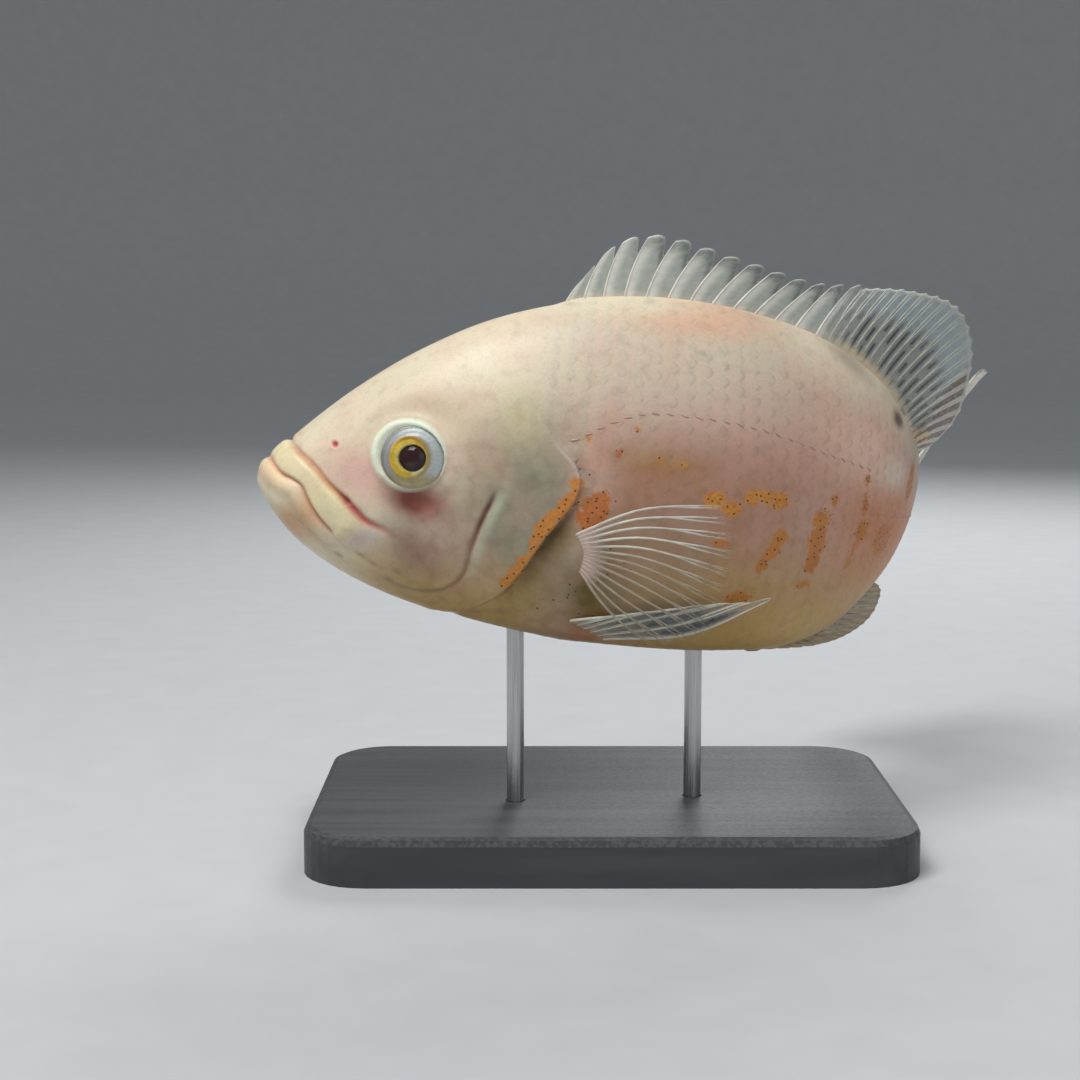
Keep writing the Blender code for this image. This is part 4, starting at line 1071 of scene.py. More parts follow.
def scale_points(name, side, seed):
    rng = np.random.default_rng(seed)
    gathered = []
    along, column = SCALES_START, 0
    while along < SCALES_END:
        growth = math.sqrt(half_outline(along)[2][-1] / FULLEST)
        rows = np.arange(-14, 15) + 0.5 * (column % 2)
        here, inside, at = row_points(along, rows)
        lie = row_points(along + 0.5 * MM, rows)[0] - here
        down = row_points(along, rows + 0.1)[0] - here
        cover = scale_cover(here[:, 0] / MM, here[:, 2] / MM)
        keep = inside & (cover > LEAST_COVER)
        size = np.full(len(rows), growth) * rng.uniform(0.97, 1.03, len(rows))
        for k in np.flatnonzero(keep):
            root = (along, at[k], 0.0)
            gathered.append((here[k], here[k] + lie[k], here[k] + down[k], size[k], cover[k], root))
        along += COLUMN_STEP * MM * growth
        column += 1
    starts, aheads, belows, sizes, covers, roots = (np.array(values) for values in zip(*gathered))
    mirror = np.array([1.0, -side, 1.0])
    start, ahead, below = (posed(bend(places * mirror)) for places in (starts, aheads, belows))
    lie, down = ahead - start, below - start
    out = side * np.cross(lie, down)
    points = new_mesh_object(name, start, [])
    store(points, "lie", lie / np.linalg.norm(lie, axis=1, keepdims=True))
    store(points, "away", out / np.linalg.norm(out, axis=1, keepdims=True))
    store(points, "size", sizes)
    store(points, "cover", covers)
    store(points, "root", roots / (1.1 * BODY_LENGTH))
    return points


SIDES = ((-1, "left"), (1, "right"))
SCALES = [scale_points("scales_" + name, side, seed) for (side, name), seed in zip(SIDES, (11, 12))]
print("scales on the left and on the right:", [len(scales.data.vertices) for scales in SCALES])

# %% The tree that sets the scales
def scale_tree():
    tree, given = start_tree("set_scales", Plate="object", Skin="object", Lift="number", Finish="material")
    plate_shape = node(tree, "GeometryNodeObjectInfo", {"Object": given.outputs["Plate"]})
    skin_shape = node(tree, "GeometryNodeObjectInfo", {"Object": given.outputs["Skin"]}).outputs["Geometry"]
    turn = node(tree, "FunctionNodeAxesToRotation", primary_axis="X", secondary_axis="Z")
    tree.links.new(named(tree, "lie", "FLOAT_VECTOR"), turn.inputs[0])
    tree.links.new(named(tree, "away", "FLOAT_VECTOR"), turn.inputs[1])
    spread = node(tree, "GeometryNodeMeshToPoints", {"Mesh": given.outputs["Geometry"]})
    placed = node(tree, "GeometryNodeInstanceOnPoints", {
        "Points": spread.outputs[0], "Instance": plate_shape.outputs["Geometry"], "Rotation": turn.outputs[0],
        "Scale": named(tree, "size"),
    })
    real = node(tree, "GeometryNodeRealizeInstances", {"Geometry": placed.outputs[0]})
    place = tree.nodes.new("GeometryNodeInputPosition").outputs[0]

    def on_skin(value):
        found = node(tree, "GeometryNodeSampleNearestSurface", {
            "Mesh": skin_shape, "Value": value, "Sample Position": place}, data_type="FLOAT_VECTOR")
        return found.outputs["Value"]

    lift = product(tree, named(tree, "rise"), given.outputs["Lift"])
    shaped = product(tree, lift, maths(tree, "POWER", named(tree, "cover"), 0.7))
    out = on_skin(named(tree, "out", "FLOAT_VECTOR"))
    raised = node(tree, "ShaderNodeVectorMath", {0: out, "Scale": shaped}, operation="SCALE").outputs[0]
    target = node(tree, "ShaderNodeVectorMath", {0: on_skin(place), 1: raised}, operation="ADD").outputs[0]
    flat = node(tree, "GeometryNodeStoreNamedAttribute", {
        "Geometry": real.outputs[0], "Name": "flat", "Value": on_skin(named(tree, "flat", "FLOAT_VECTOR")),
    }, data_type="FLOAT_VECTOR")
    moved = node(tree, "GeometryNodeSetPosition", {"Geometry": flat.outputs[0], "Position": target})
    end_tree(tree, moved.outputs[0], given.outputs["Finish"])
    return tree


def patch_map(piece, size=0.003):
    """The map OFBake: each scale is a small patch at its root's place on the unrolled flank."""
    uv = read(piece, "root")[:, :2] + read(piece, "patch")[:, :2] * size
    corners = np.empty(len(piece.data.loops), dtype=np.int32)
    piece.data.loops.foreach_get("vertex_index", corners)
    layer = piece.data.uv_layers.new(name="OFBake")
    layer.uv.foreach_set("vector", uv[corners].astype(np.float32).ravel())


SET_SCALES = scale_tree()
for scales in SCALES:
    grow(scales, SET_SCALES, Plate=plate, Skin=skin, Lift=MM, Finish=SKIN)
    paint_piece(scales)
    patch_map(scales)
    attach(scales, "root")
    print(scales.name, "has", triangles(scales), "triangles")
discard(plate)

# %% [markdown]
# The eye
#
# A fish's eye is a flat, bright ring with a round lens that bulges through the pupil, all under a clear
# domed window. Each layer is turned like a bowl from a short profile, round an axis square to the head. The
# gold ring is not centred on the pupil: it is wider in front. The rings of colour depend only on the distance
# from the gold ring's own centre, so that distance is stored on every point.

# %% Turning a piece round the eye's axis
RING_SHIFT = -0.85


def eye_frame(side):
    """The eye's centre on the plain head, and its backward, upward and outward directions."""
    along, height, step = EYE[0] * MM, EYE[1] * MM, 2 * MM
    slope_along = (flank(along + step, height) - flank(along - step, height)) / (2 * step)
    slope_up = (flank(along, height + step) - flank(along, height - step)) / (2 * step)
    outward = np.array([-slope_along, side, -slope_up])
    outward /= np.linalg.norm(outward)
    upward = np.array([0.0, 0.0, 1.0]) - outward[2] * outward
    upward /= np.linalg.norm(upward)
    backward = np.cross(upward, outward) * -side
    return np.array([along, side * flank(along, height), height]), backward, upward, outward


def turned(name, profile, side, spokes=72):
    """A closed turned piece. Its profile runs from the front pole to the back, as (radius, height) in mm."""
    radius, height = np.array(profile, float).T
    angle = np.linspace(0.0, 2 * math.pi, spokes, endpoint=False)
    ring_u, ring_v = np.outer(radius[1:-1], np.cos(angle)), np.outer(radius[1:-1], np.sin(angle))
    ring_w = np.repeat(height[1:-1, None], spokes, axis=1)
    local = np.stack([ring_u, ring_v, ring_w], axis=2).reshape(-1, 3)
    local = np.concatenate([local, [(0.0, 0.0, height[0]), (0.0, 0.0, height[-1])]])
    centre, backward, upward, outward = eye_frame(side)
    points = centre + (local @ np.stack([backward, upward, outward])) * MM
    rings = len(profile) - 2
    faces = net_faces(rings, spokes).tolist()
    front, last = rings * spokes, (rings - 1) * spokes
    faces += [(front, c, (c + 1) % spokes) for c in range(spokes)]
    faces += [(front + 1, last + (c + 1) % spokes, last + c) for c in range(spokes)]
    piece = new_mesh_object(name, posed(bend(points)), faces)
    face_outwards(piece)
    across = np.hypot(local[:, 0], local[:, 1])
    shift = fade(7.6, 4.9, across) * RING_SHIFT
    u, v = local[:, 0] - shift, local[:, 1] + 0.15 * shift
    store(piece, "ring", np.hypot(u, v))
    store(piece, "height", v)
    store(piece, "behind", u)
    turn = np.stack([u, v, np.zeros_like(u)], axis=1) / np.maximum(np.hypot(u, v), 0.1)[:, None]
    outwards = np.stack([0 * u, 0 * u, 0.3 * np.hypot(u, v)], axis=1)
    store(piece, "streak", turn * 5.0 + outwards)
    return piece


print("the eye's axis points", [round(float(v), 2) for v in eye_frame(-1)[3]])

# %% Iris, lens and window of each eye
def iris_profile():
    rim = [(7.95, -1.1), (7.75, 0.05), (7.5, 0.35)]
    face = [(r, 0.40 + 0.75 * float(fade(7.6, 4.4, r)) + 0.05 * math.sin(5 * r))
            for r in np.arange(7.3, 3.5, -0.22)]
    lip = [(3.42, 1.15), (3.3, 0.9), (3.2, 0.3), (2.4, -0.2)]
    back = [(7.95, -1.1), (6.0, -2.6), (0.0, -2.9)]
    return [(0.0, -0.3)] + (rim + face + lip)[::-1] + back[1:]


def arc(radius, middle, rise, first, last, count):
    """Points on half an ellipse between two angles from the pole, as (radius, height)."""
    angles = np.linspace(first, last, count)
    return [(radius * math.sin(a), middle + rise * math.cos(a)) for a in angles]


def lens_profile():
    return [(0.0, 1.55)] + arc(3.5, -0.2, 1.75, 0.12, 3.0, 22) + [(0.0, -1.95)]


def window_profile(thickness=0.22):
    outer = [(0.0, 2.45)] + arc(7.9, 0.05, 2.4, 0.1, 1.5, 18)
    inner = [(r - thickness, h - thickness) for r, h in outer[::-1][:-1]]
    return outer + inner + [(0.0, 2.25)]


LAYERS = {"iris_": iris_profile(), "lens_": lens_profile(), "cornea_": window_profile()}
EYES = {}
for side, name in SIDES:
    EYES[name] = [turned(layer + name, profile, side) for layer, profile in LAYERS.items()]
print("each eye has", ", ".join(piece.name for piece in EYES["left"]))

# %% [markdown]
# The colours of the eye
#
# From the middle out: a very dark lens, a bright yellow edge, a gold ring with a painted brown shadow above
# and olive behind and below, a wide pale grey ring, a thin grey line and a pale rim. A small painted glint
# lies under the pupil. The edges of the rings wander a little and fine streaks run outwards, because the ring
# is
# living tissue. The window is clear: only its gloss shows, which grows towards its edge, so the amount of
# gloss is worked out from the angle of view.

# %% Eye materials
def ramp(tree, value, *stops):
    made = node(tree, "ShaderNodeValToRGB", {"Fac": value})
    made.color_ramp.elements.remove(made.color_ramp.elements[1])
    for k, (place, colour) in enumerate(stops):
        stop = made.color_ramp.elements[0] if k == 0 else made.color_ramp.elements.new(place)
        stop.position = place
        stop.color = colour
    return made.outputs["Color"]


# Tints on the iris, the first a painted shadow along the top of the gold ring: stored place and where on it
# they begin and end, the same for the inner and outer edge on the rings, strength and colour
IRIS_SHADES = (
    # A painted shadow along the top of the gold ring
    ("height", 1.6, 4.4, (0.40, 0.45), (0.53, 0.47), 0.75, paint(150, 98, 36)),
    ("height", -2.4, -5.0, (0.44, 0.54), None, 0.75, paint(196, 174, 92)),
    ("behind", -2.0, -5.5, (0.50, 0.54), None, 0.6, paint(176, 166, 168)),
    ("behind", 1.6, 3.6, (0.40, 0.45), (0.56, 0.51), 0.7, paint(168, 160, 118)),
)


def iris_material():
    material, tree, shader = new_material("oscar_iris", 0.34, specular=0.4, coat=0.25, coat_roughness=0.12)
    streak = stored(tree, "streak", "Vector")
    wander = product(tree, maths(tree, "SUBTRACT", noise(tree, streak, 0.8, 3.0), 0.5), 0.55)
    ring = maths(tree, "DIVIDE", maths(tree, "ADD", stored(tree, "ring"), wander), 10.0)
    tone = ramp(
        tree, ring,
        (0.24, paint(180, 130, 50)), (0.31, paint(255, 236, 128)), (0.36, paint(255, 222, 78)),
        (0.41, paint(250, 202, 48)), (0.465, paint(255, 214, 76)), (0.505, paint(228, 196, 120)),
        (0.545, paint(204, 200, 194)), (0.60, paint(214, 222, 222)), (0.70, paint(208, 218, 218)),
        (0.735, paint(204, 210, 208)), (0.752, paint(172, 168, 168)), (0.77, paint(232, 236, 218)),
        (0.80, paint(214, 216, 194)))
    for where, low, high, inner, outer, strength, colour in IRIS_SHADES:
        amount = between(tree, stored(tree, where), low, high)
        for edge in (inner, outer):
            amount = product(tree, amount, between(tree, ring, *edge)) if edge else amount
        tone = mixed(tree, product(tree, amount, strength), tone, colour)
    # A painted glint: a pale crescent just below the pupil
    glint = product(tree, between(tree, stored(tree, "height"), -1.6, -2.6), between(tree, ring, 0.47, 0.42))
    glint = product(tree, glint, between(tree, stored(tree, "behind"), 0.4, 1.6), 0.9)
    tone = mixed(tree, glint, tone, paint(255, 252, 205))
    patch = between(tree, noise(tree, streak, 0.55, 3.0), 0.40, 0.70, 0.0, 0.35)
    tone = mixed(tree, patch, tone, paint(196, 214, 206), "MULTIPLY")
    fine = noise(tree, streak, 4.0, 4.0)
    tone = mixed(tree, between(tree, fine, 0.42, 0.72, 0.0, 0.22), tone, paint(170, 150, 134), "MULTIPLY")
    wire(tree, shader, tone, fine, 0.25)
    return material


def lens_material():
    material, tree, shader = new_material("oscar_lens", 0.10, specular=0.3, coat=0.15, coat_roughness=0.03)
    cloud = noise(tree, stored(tree, "streak", "Vector"), 0.7)
    depth = between(tree, maths(tree, "ADD", stored(tree, "ring"), cloud), 1.2, 4.4)
    wire(tree, shader, mixed(tree, depth, paint(60, 20, 18), paint(44, 16, 16)))
    return material


def cornea_material():
    material, tree, shader = new_material("oscar_cornea", 0.04, specular=0.6, coat=0.0)
    gloss = node(tree, "ShaderNodeFresnel", {"IOR": 1.38}).outputs[0]
    haze = between(tree, noise(tree, stored(tree, "streak", "Vector"), 0.5), 0.3, 0.8, 0.0, 0.03)
    tree.links.new(maths(tree, "ADD", product(tree, gloss, 0.55), haze), shader.inputs["Alpha"])
    wire(tree, shader, mixed(tree, haze, paint(146, 150, 148), paint(166, 172, 172)))
    return material


FINISHES = (iris_material(), lens_material(), cornea_material())
for name, pieces in EYES.items():
    for piece, finish in zip(pieces, FINISHES):
        piece.data.materials.append(finish)
        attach(piece, "root")
        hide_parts("eye_" + name)
print("eye finishes:", ", ".join(m.name for m in FINISHES))

# %% [markdown]
# The rays of the fins
#
# A fin is a fan of rays with a thin membrane between them. In front, the dorsal and anal fins have stiff
# spines, and behind them soft rays that fork towards the edge. Each ray is a line of points, found from where
# it is rooted, how far it leans back and how long it is. The same numbers shaped the solid fins, so these
# lines start on the body and end at the solid fins' tips.

# %% Measures of the middle fins
DORSAL_SPINES = 13
DORSAL_SPINE_ROOTS = (72.3, 137.4)
DORSAL_SOFT_ROOTS = (140.8, 186.0)
DORSAL_SOFT_RAYS = 20
DORSAL_LEAN = (
    (72, 26), (78, 14), (96, 25), (112, 40), (125, 44), (138, 33), (150, 38), (162, 48), (172, 62), (186, 88),
)
DORSAL_LENGTH = (
    (72, 5.4), (76, 11.6), (82, 15.0), (104, 14.4), (126, 14.5), (138, 16.6),
    (150, 25.6), (162, 34.4), (174, 32.4), (182, 25.0), (186, 10.5),
)
ANAL_SPINES = 3
ANAL_SPINE_ROOTS = (136.0, 141.5)
ANAL_SOFT_ROOTS = (144.3, 180.0)
ANAL_SOFT_RAYS = 14
ANAL_LEAN = ((136, 84), (152, 84), (164, 86), (180, 96))
ANAL_LENGTH = ((136, 4.5), (142, 8.6), (156, 14.4), (169, 18.4), (176, 16.0), (180, 10.0))
CAUDAL_RAYS = 16
CAUDAL_RISE = (34, -34)
CAUDAL_HEADING = (64, 94)
CAUDAL_LENGTH = (0.049, 0.053)
CAUDAL_ROOT = 0.0155
CAUDAL_BOW = 8.0
ROOT_DEPTH = 0.9 * MM
RAY_STEPS = 25
print("dorsal fin:", DORSAL_SPINES, "spines and", DORSAL_SOFT_RAYS, "soft rays")

# %% Ray lines of the middle fins
def ray_line(root, direction, length, sweep=0.0, backwards=(0.0, 0.0, 0.0)):
    """Points of a ray that starts a little below the skin and bends backwards towards its tip."""
    reach = np.linspace(0.0, 1.0, RAY_STEPS)[:, None]
    straight = root - direction * ROOT_DEPTH + direction * (length + ROOT_DEPTH) * reach
    return straight + np.asarray(backwards) * sweep * length * (reach**2 - reach)


def middle_fin_rays(roots, leans, lengths, side, sweep):
    rays = []
    for along, lean, length in zip(roots, read_curve(leans, roots), read_curve(lengths, roots)):
        root_at = np.array(along * MM)
        back_height, belly_height, _, _ = section(root_at)
        root = bend(np.array([along * MM, 0.0, float(back_height if side > 0 else belly_height)]))
        turn = float(heading(root_at)) * FIN_FOLLOW
        backwards = np.array([math.cos(turn), math.sin(turn), 0.0])
        upwards = side * body_axes(root_at)[1]
        direction = backwards * math.sin(math.radians(lean)) + upwards * math.cos(math.radians(lean))
        bowed = sweep + 0.34 * float(fade(168.0, 182.0, along)) * (side > 0)
        rays.append(ray_line(root, direction, length * MM, bowed, backwards))
    return np.array(rays)


def from_to(ends, share):
    return ends[0] + (ends[1] - ends[0]) * share


def dorsal_rays():
    spines = from_to(DORSAL_SPINE_ROOTS, np.linspace(0.0, 1.0, DORSAL_SPINES) ** 1.1)
    roots = np.concatenate([spines, np.linspace(*DORSAL_SOFT_ROOTS, DORSAL_SOFT_RAYS)])
    return middle_fin_rays(roots, DORSAL_LEAN, DORSAL_LENGTH, 1, 0.22)


def anal_rays():
    spines = np.linspace(*ANAL_SPINE_ROOTS, ANAL_SPINES)
    roots = np.concatenate([spines, np.linspace(*ANAL_SOFT_ROOTS, ANAL_SOFT_RAYS)])
    return middle_fin_rays(roots, ANAL_LEAN, ANAL_LENGTH, -1, 0.1)


def caudal_rays():
    rays = []
    upwards = body_axes(np.array(BODY_LENGTH))[1]
    for share in np.linspace(0.0, 1.0, CAUDAL_RAYS):
        rise = math.radians(from_to(CAUDAL_RISE, share))
        turn = math.radians(from_to(CAUDAL_HEADING, share**0.78))
        length = from_to(CAUDAL_LENGTH, math.sin(math.pi * share))
        outermost = float(fade(0.24, 0.0, share) - fade(0.76, 1.0, share))
        length = length * (1 + 0.05 * abs(outermost))
        root = bend(np.array([BODY_LENGTH, 0.0, CAUDAL_ROOT * (1 - 2 * share)]))
        ahead = np.array([math.cos(turn), math.sin(turn), 0.0])
        bow = CAUDAL_BOW * MM * np.sin(math.pi * np.linspace(0.0, 1.0, RAY_STEPS) ** 1.6)[:, None]
        straight = ray_line(root, ahead * math.cos(rise) + upwards * math.sin(rise), length)
        rays.append(straight + upwards * bow * outermost)
    return np.array(rays)


# %% Ray lines of the paired fins
# The levels are the lines through all roots, all middles and all tips
PECTORAL_RAYS = 13
PECTORAL_LEVELS = (
    ((79.2, -4.2), (81.0, -8.4), (81.0, -13.0)),
    ((92.4, 3.9), (94.0, -2.9), (94.6, -10.0), (93.0, -17.0), (88.6, -22.2)),
    ((108.2, 6.8), (112.0, -2.8), (111.6, -12.6), (111.6, -22.0), (109.4, -27.8), (99.6, -30.8)),
)
PECTORAL_STAND_OFF = (0.2, 4.5, 8.0)
PELVIC_RAYS = 6
PELVIC_LEVELS = (
    ((89.0, -30.4), (80.6, -26.2)),
    ((107.6, -26.9), (97.4, -22.4), (88.0, -23.8)),
    ((123.5, -17.0), (110.4, -18.2), (95.4, -22.2)),
)
PELVIC_STAND_OFF = (0.1, 2.6, 3.6)
PECTORAL = (PECTORAL_RAYS, PECTORAL_LEVELS, PECTORAL_STAND_OFF)
PELVIC = (PELVIC_RAYS, PELVIC_LEVELS, PELVIC_STAND_OFF)


def paired_fin_rays(count, levels, stand_off, side):
    """Ray lines of a paired fin: roots, middles and tips in side view, each so far off the skin."""
    shares = np.linspace(0.0, 1.0, count) + 0.010 * np.sin(5.3 * np.arange(count)) * (count > 8)
    shares = np.clip(shares, 0.0, 1.0)
    places = []
    for points, off in zip(levels, stand_off):
        points = np.array(points) * MM
        at = np.linspace(0.0, 1.0, len(points))
        along, height = (spline(at, points[:, k], shares) for k in (0, 1))
        out = [flank(a, z) + off * MM for a, z in zip(along, height)]
        places.append(np.stack([along, side * np.array(out), height], axis=1))
    reach = np.linspace(0.0, 2.0, RAY_STEPS)
    rays = [[spline((0.0, 1.0, 2.0), knots[:, k], reach) for k in range(3)]
            for knots in np.array(places).transpose(1, 0, 2)]
    return bend(np.array(rays).transpose(0, 2, 1))


# The rays and the number of spines of each fin
FINS = {
    "dorsal_fin": (dorsal_rays(), DORSAL_SPINES),
    "anal_fin": (anal_rays(), ANAL_SPINES),
    "tail_fin": (caudal_rays(), 0),
}
for kind, spines, measures in (("pectoral_fin_", 0, PECTORAL), ("pelvic_fin_", 1, PELVIC)):
    for side, name in SIDES:
        FINS[kind + name] = (paired_fin_rays(*measures, side), spines)
print("rays in all:", sum(len(rays) for rays, _ in FINS.values()))

# %% [markdown]
# The membranes
#
# The membrane is lofted through the ray lines, with six to ten columns between two rays. Behind every spine
# it stands up in a round lobe and dips before the next one, and between soft rays its edge only scallops. It
# is 0.7 mm thick at the base and thins to a tenth at the edge, and it bellies slightly to one side.
# Each point keeps its ray number, its share of the way out, and its distance from the root and the edge.

# %% Membranes between the rays
SPINY_SHARES = (0.0, 0.06, 0.15, 0.27, 0.40, 0.54, 0.67, 0.78, 0.87, 0.94)
SOFT_SHARES = (0.0, 0.12, 0.28, 0.5, 0.72, 0.88)
MEMBRANE_ROWS = np.linspace(0.0, 1.0, 22) ** 0.9


def on_fin(rays, at, reach):
    """Points of a fin's middle sheet at ray number at and share reach, arrays of one shape."""
    at, reach = np.broadcast_arrays(np.asarray(at, float), np.asarray(reach, float))
    k = np.clip(np.floor(at).astype(int), 0, len(rays) - 2)
    step = reach * (RAY_STEPS - 1)
    r = np.clip(np.floor(step).astype(int), 0, RAY_STEPS - 2)
    past_ray, past_step = (at - k)[..., None], (step - r)[..., None]
    first = rays[k, r] * (1 - past_step) + rays[k, r + 1] * past_step
    second = rays[k + 1, r] * (1 - past_step) + rays[k + 1, r + 1] * past_step
    return first * (1 - past_ray) + second * past_ray


def lobe(share):
    """How far the membrane reaches behind a spine, as a share of the spine's length."""
    return 1.0 + 0.06 * np.sin(math.pi * np.clip(share / 0.7, 0, 1)) - 0.26 * fade(0.52, 0.97, share) ** 1.6


def fin_columns(count, spines):
    at, edge = [], []
    for k in range(count - 1):
        spiny = k < spines
        for share in SPINY_SHARES if spiny else SOFT_SHARES:
            at.append(k + share)
            edge.append(float(lobe(share)) if spiny and share > 0 else 1.0 - 0.02 * math.sin(math.pi * share))
    return np.array(at + [count - 1.0]), np.array(edge + [1.0])


def membrane(name, rays, spines):
    at, edge = fin_columns(len(rays), spines)
    at, share = np.meshgrid(at, MEMBRANE_ROWS, indexing="ij")
    reach = share * edge[:, None]
    middle = on_fin(rays, at, reach)
    across, along = np.gradient(middle, axis=0), np.gradient(middle, axis=1)
    normal = np.cross(across, along)
    normal /= np.maximum(np.linalg.norm(normal, axis=2, keepdims=True), 1e-12)
    between_rays = np.sin(math.pi * (at - np.floor(at)))
    belly = (0.08 * between_rays * reach * fade(1.0, 0.6, share) * MM)[..., None]
    half = (0.30 * (1 - share) ** 1.5 + 0.05)[..., None] * MM
    middle = middle + normal * belly
    columns, rows = at.shape
    sheet = net_faces(columns, rows, wrap=False)
    count = columns * rows
    rim = [c * rows for c in range(columns)] + [(columns - 1) * rows + r for r in range(1, rows)]
    rim += [c * rows + rows - 1 for c in range(columns - 2, -1, -1)] + list(range(rows - 2, 0, -1))
    faces = sheet.tolist() + (sheet[:, ::-1] + count).tolist()
    faces += [(a, b, count + b, count + a) for a, b in zip(rim, rim[1:] + rim[:1])]
    points = np.concatenate([(middle + way * normal * half).reshape(-1, 3) for way in (1, -1)])
    piece = new_mesh_object(name, posed(points), faces)
    face_outwards(piece)
    steps_out = np.diff(on_fin(rays, at[:, :1], np.linspace(0, 1, 9)), axis=1)
    lengths = np.linalg.norm(steps_out, axis=2).sum(axis=1) / MM
    fields = {"ray_at": at, "reach": share, "span": reach * lengths[:, None],
              "gap": 2 * np.abs(at - np.round(at)), "margin": (edge[:, None] - reach) * lengths[:, None]}
    for field, values in fields.items():
        store(piece, field, np.tile(values.ravel(), 2))
    return piece


MEMBRANES = {name: membrane(name + "_membrane", rays, spines) for name, (rays, spines) in FINS.items()}
print("membranes:", triangles(*MEMBRANES.values()), "triangles")

# %% [markdown]
# Rays that fork
#
# A spine is one tapered rod. A soft ray is a trunk that splits in two half way out, and each half splits
# again near the edge, which gives a fin its combed look. All strands of a fin are lines in one edge mesh, and
# one tree turns every line into a tapered tube whose radius is stored along it.

# %% Strands of the rays
RAY_END = 0.985


def spine_strands(k):
    """One strand, as points of ray number, share of the way out and width."""
    return [[(k, r, 1.0 - 0.85 * r) for r in np.linspace(0.0, RAY_END, 14)]]


def soft_strands(k, last, forks):
    first, second = forks
    strands = [[(k, r, 1.0 - 0.35 * r / first) for r in np.linspace(0.0, first, 8)]]
    for side in (-1, 1):
        branch = [(k + 0.15 * side * float(fade(first, second, r)), r, 0.60 - 0.10 * (r - first))
                  for r in np.linspace(first, second, 7)]
        strands.append(branch)
        for turn in (-1, 1):
            strands.append([(branch[-1][0] + 0.085 * turn * float(fade(second, 1.0, r)), r,
                             0.50 - 0.24 * (r - second) / (1 - second))
                            for r in np.linspace(second, RAY_END, 6)])
    return [[(min(max(at, 0.0), last), r, w) for at, r, w in strand] for strand in strands]


def ray_lines(name, rays, spines, radius, forks):
    points, edges, thick, reaches, rows = [], [], [], [], []
    for k in range(len(rays)):
        strands = spine_strands(k) if k < spines else soft_strands(k, len(rays) - 1.0, forks)
        widest = radius[0] if k < spines else radius[1]
        for strand in strands:
            at, reach, width = np.array(strand).T
            start = len(thick)
            points += list(on_fin(rays, at, reach))
            edges += [(start + n, start + n + 1) for n in range(len(at) - 1)]
            thick += list(widest * width * MM)
            reaches += list(reach)
            rows += [k] * len(reach)
    piece = new_mesh_object(name, posed(np.array(points)), [], edges)
    reach, low = np.array(reaches), fade(3.0, 6.0, np.array(rows))
    solid, tan = np.ones(reach.shape), np.full(reach.shape, float(name.startswith("anal")))
    if name.startswith("pectoral"):
        solid, tan = (0.80 - 0.36 * low) * fade(1.04, 0.70, reach), low * 0.7
    for field_name, values in {"thick": thick, "reach": reaches, "solid": solid, "tan": tan}.items():
        store(piece, field_name, values)
    return piece


def tube_tree():
    tree, given = start_tree("tubes", Sides="count", Finish="material")
    lines = node(tree, "GeometryNodeMeshToCurve", {"Mesh": given.outputs["Geometry"]})
    circle = {"Resolution": given.outputs["Sides"], "Radius": 1.0}
    ring = node(tree, "GeometryNodeCurvePrimitiveCircle", circle)
    tubes = node(tree, "GeometryNodeCurveToMesh", {
        "Curve": lines.outputs[0], "Profile Curve": ring.outputs[0], "Scale": named(tree, "thick"),
        "Fill Caps": True,
    })
    smooth = node(tree, "GeometryNodeSetShadeSmooth", {"Geometry": tubes.outputs[0]})
    real = node(tree, "GeometryNodeRealizeInstances", {"Geometry": smooth.outputs[0]})
    end_tree(tree, real.outputs[0], given.outputs["Finish"])
    return tree


TUBES = tube_tree()
# Radius of a spine and of a soft ray in millimetres, and the shares of its length at which a soft ray forks
RAY_SHAPES = {
    "dorsal": ((0.50, 0.34), (0.42, 0.74)),
    "anal": ((0.5, 0.34), (0.42, 0.74)),
    "tail": ((0.5, 0.42), (0.35, 0.7)),
    "pectoral": ((0.4, 0.42), (0.62, 0.86)),
    "pelvic": ((0.62, 0.42), (0.5, 0.8)),
}

# %% [markdown]
# The look of the fins
#
# The membrane is a thin clear skin that is easiest to see where it is thick or pigmented: near the base, in
# dark dashes between the soft rays, in a pale band across the middle, and along the white edge. How solid it
# looks is its alpha. Each kind of fin lists its coats of colour, found from the ray number and the share of
# the way out, and one function lays them. The dashes are cut from noise that is stretched along the rays.

# %% Paint the fins
def field(piece, name):
    return values_of(piece.data.attributes[name].data, "value", 1)[:, 0]


CLEAR_GREY = paint(196, 202, 192)
SOFT_GREY = paint(150, 154, 148)
FIN_WHITE = paint(236, 236, 226)
FIN_BROWN = paint(96, 70, 54)
FIN_CREAM = paint(226, 206, 178)
FIN_BLUE = paint(74, 86, 106)
FIN_SMOKE = paint(62, 70, 72)
DORSAL_FOLD = ((25.0, 26.1, 26.8, 28.2, 30.0, 32.0), (1.1, 0.78, 0.63, 0.52, 0.36, 0.25))
# Ray number and share of the way out, and redness, of the orange spots at the rear of the dorsal fin
FIN_SPOTS = (
    ((29.8, 0.40), 0.0), ((30.1, 0.25), 0.2), ((31.6, 0.38), 0.1), ((31.2, 0.12), 0.9), ((28.8, 0.16), 0.5),
    ((30.6, 0.55), 0.3),
)


def white_edge(margin, strength=1.0):
    return FIN_WHITE, fade(0.6, 0.2, margin), strength, 0.30


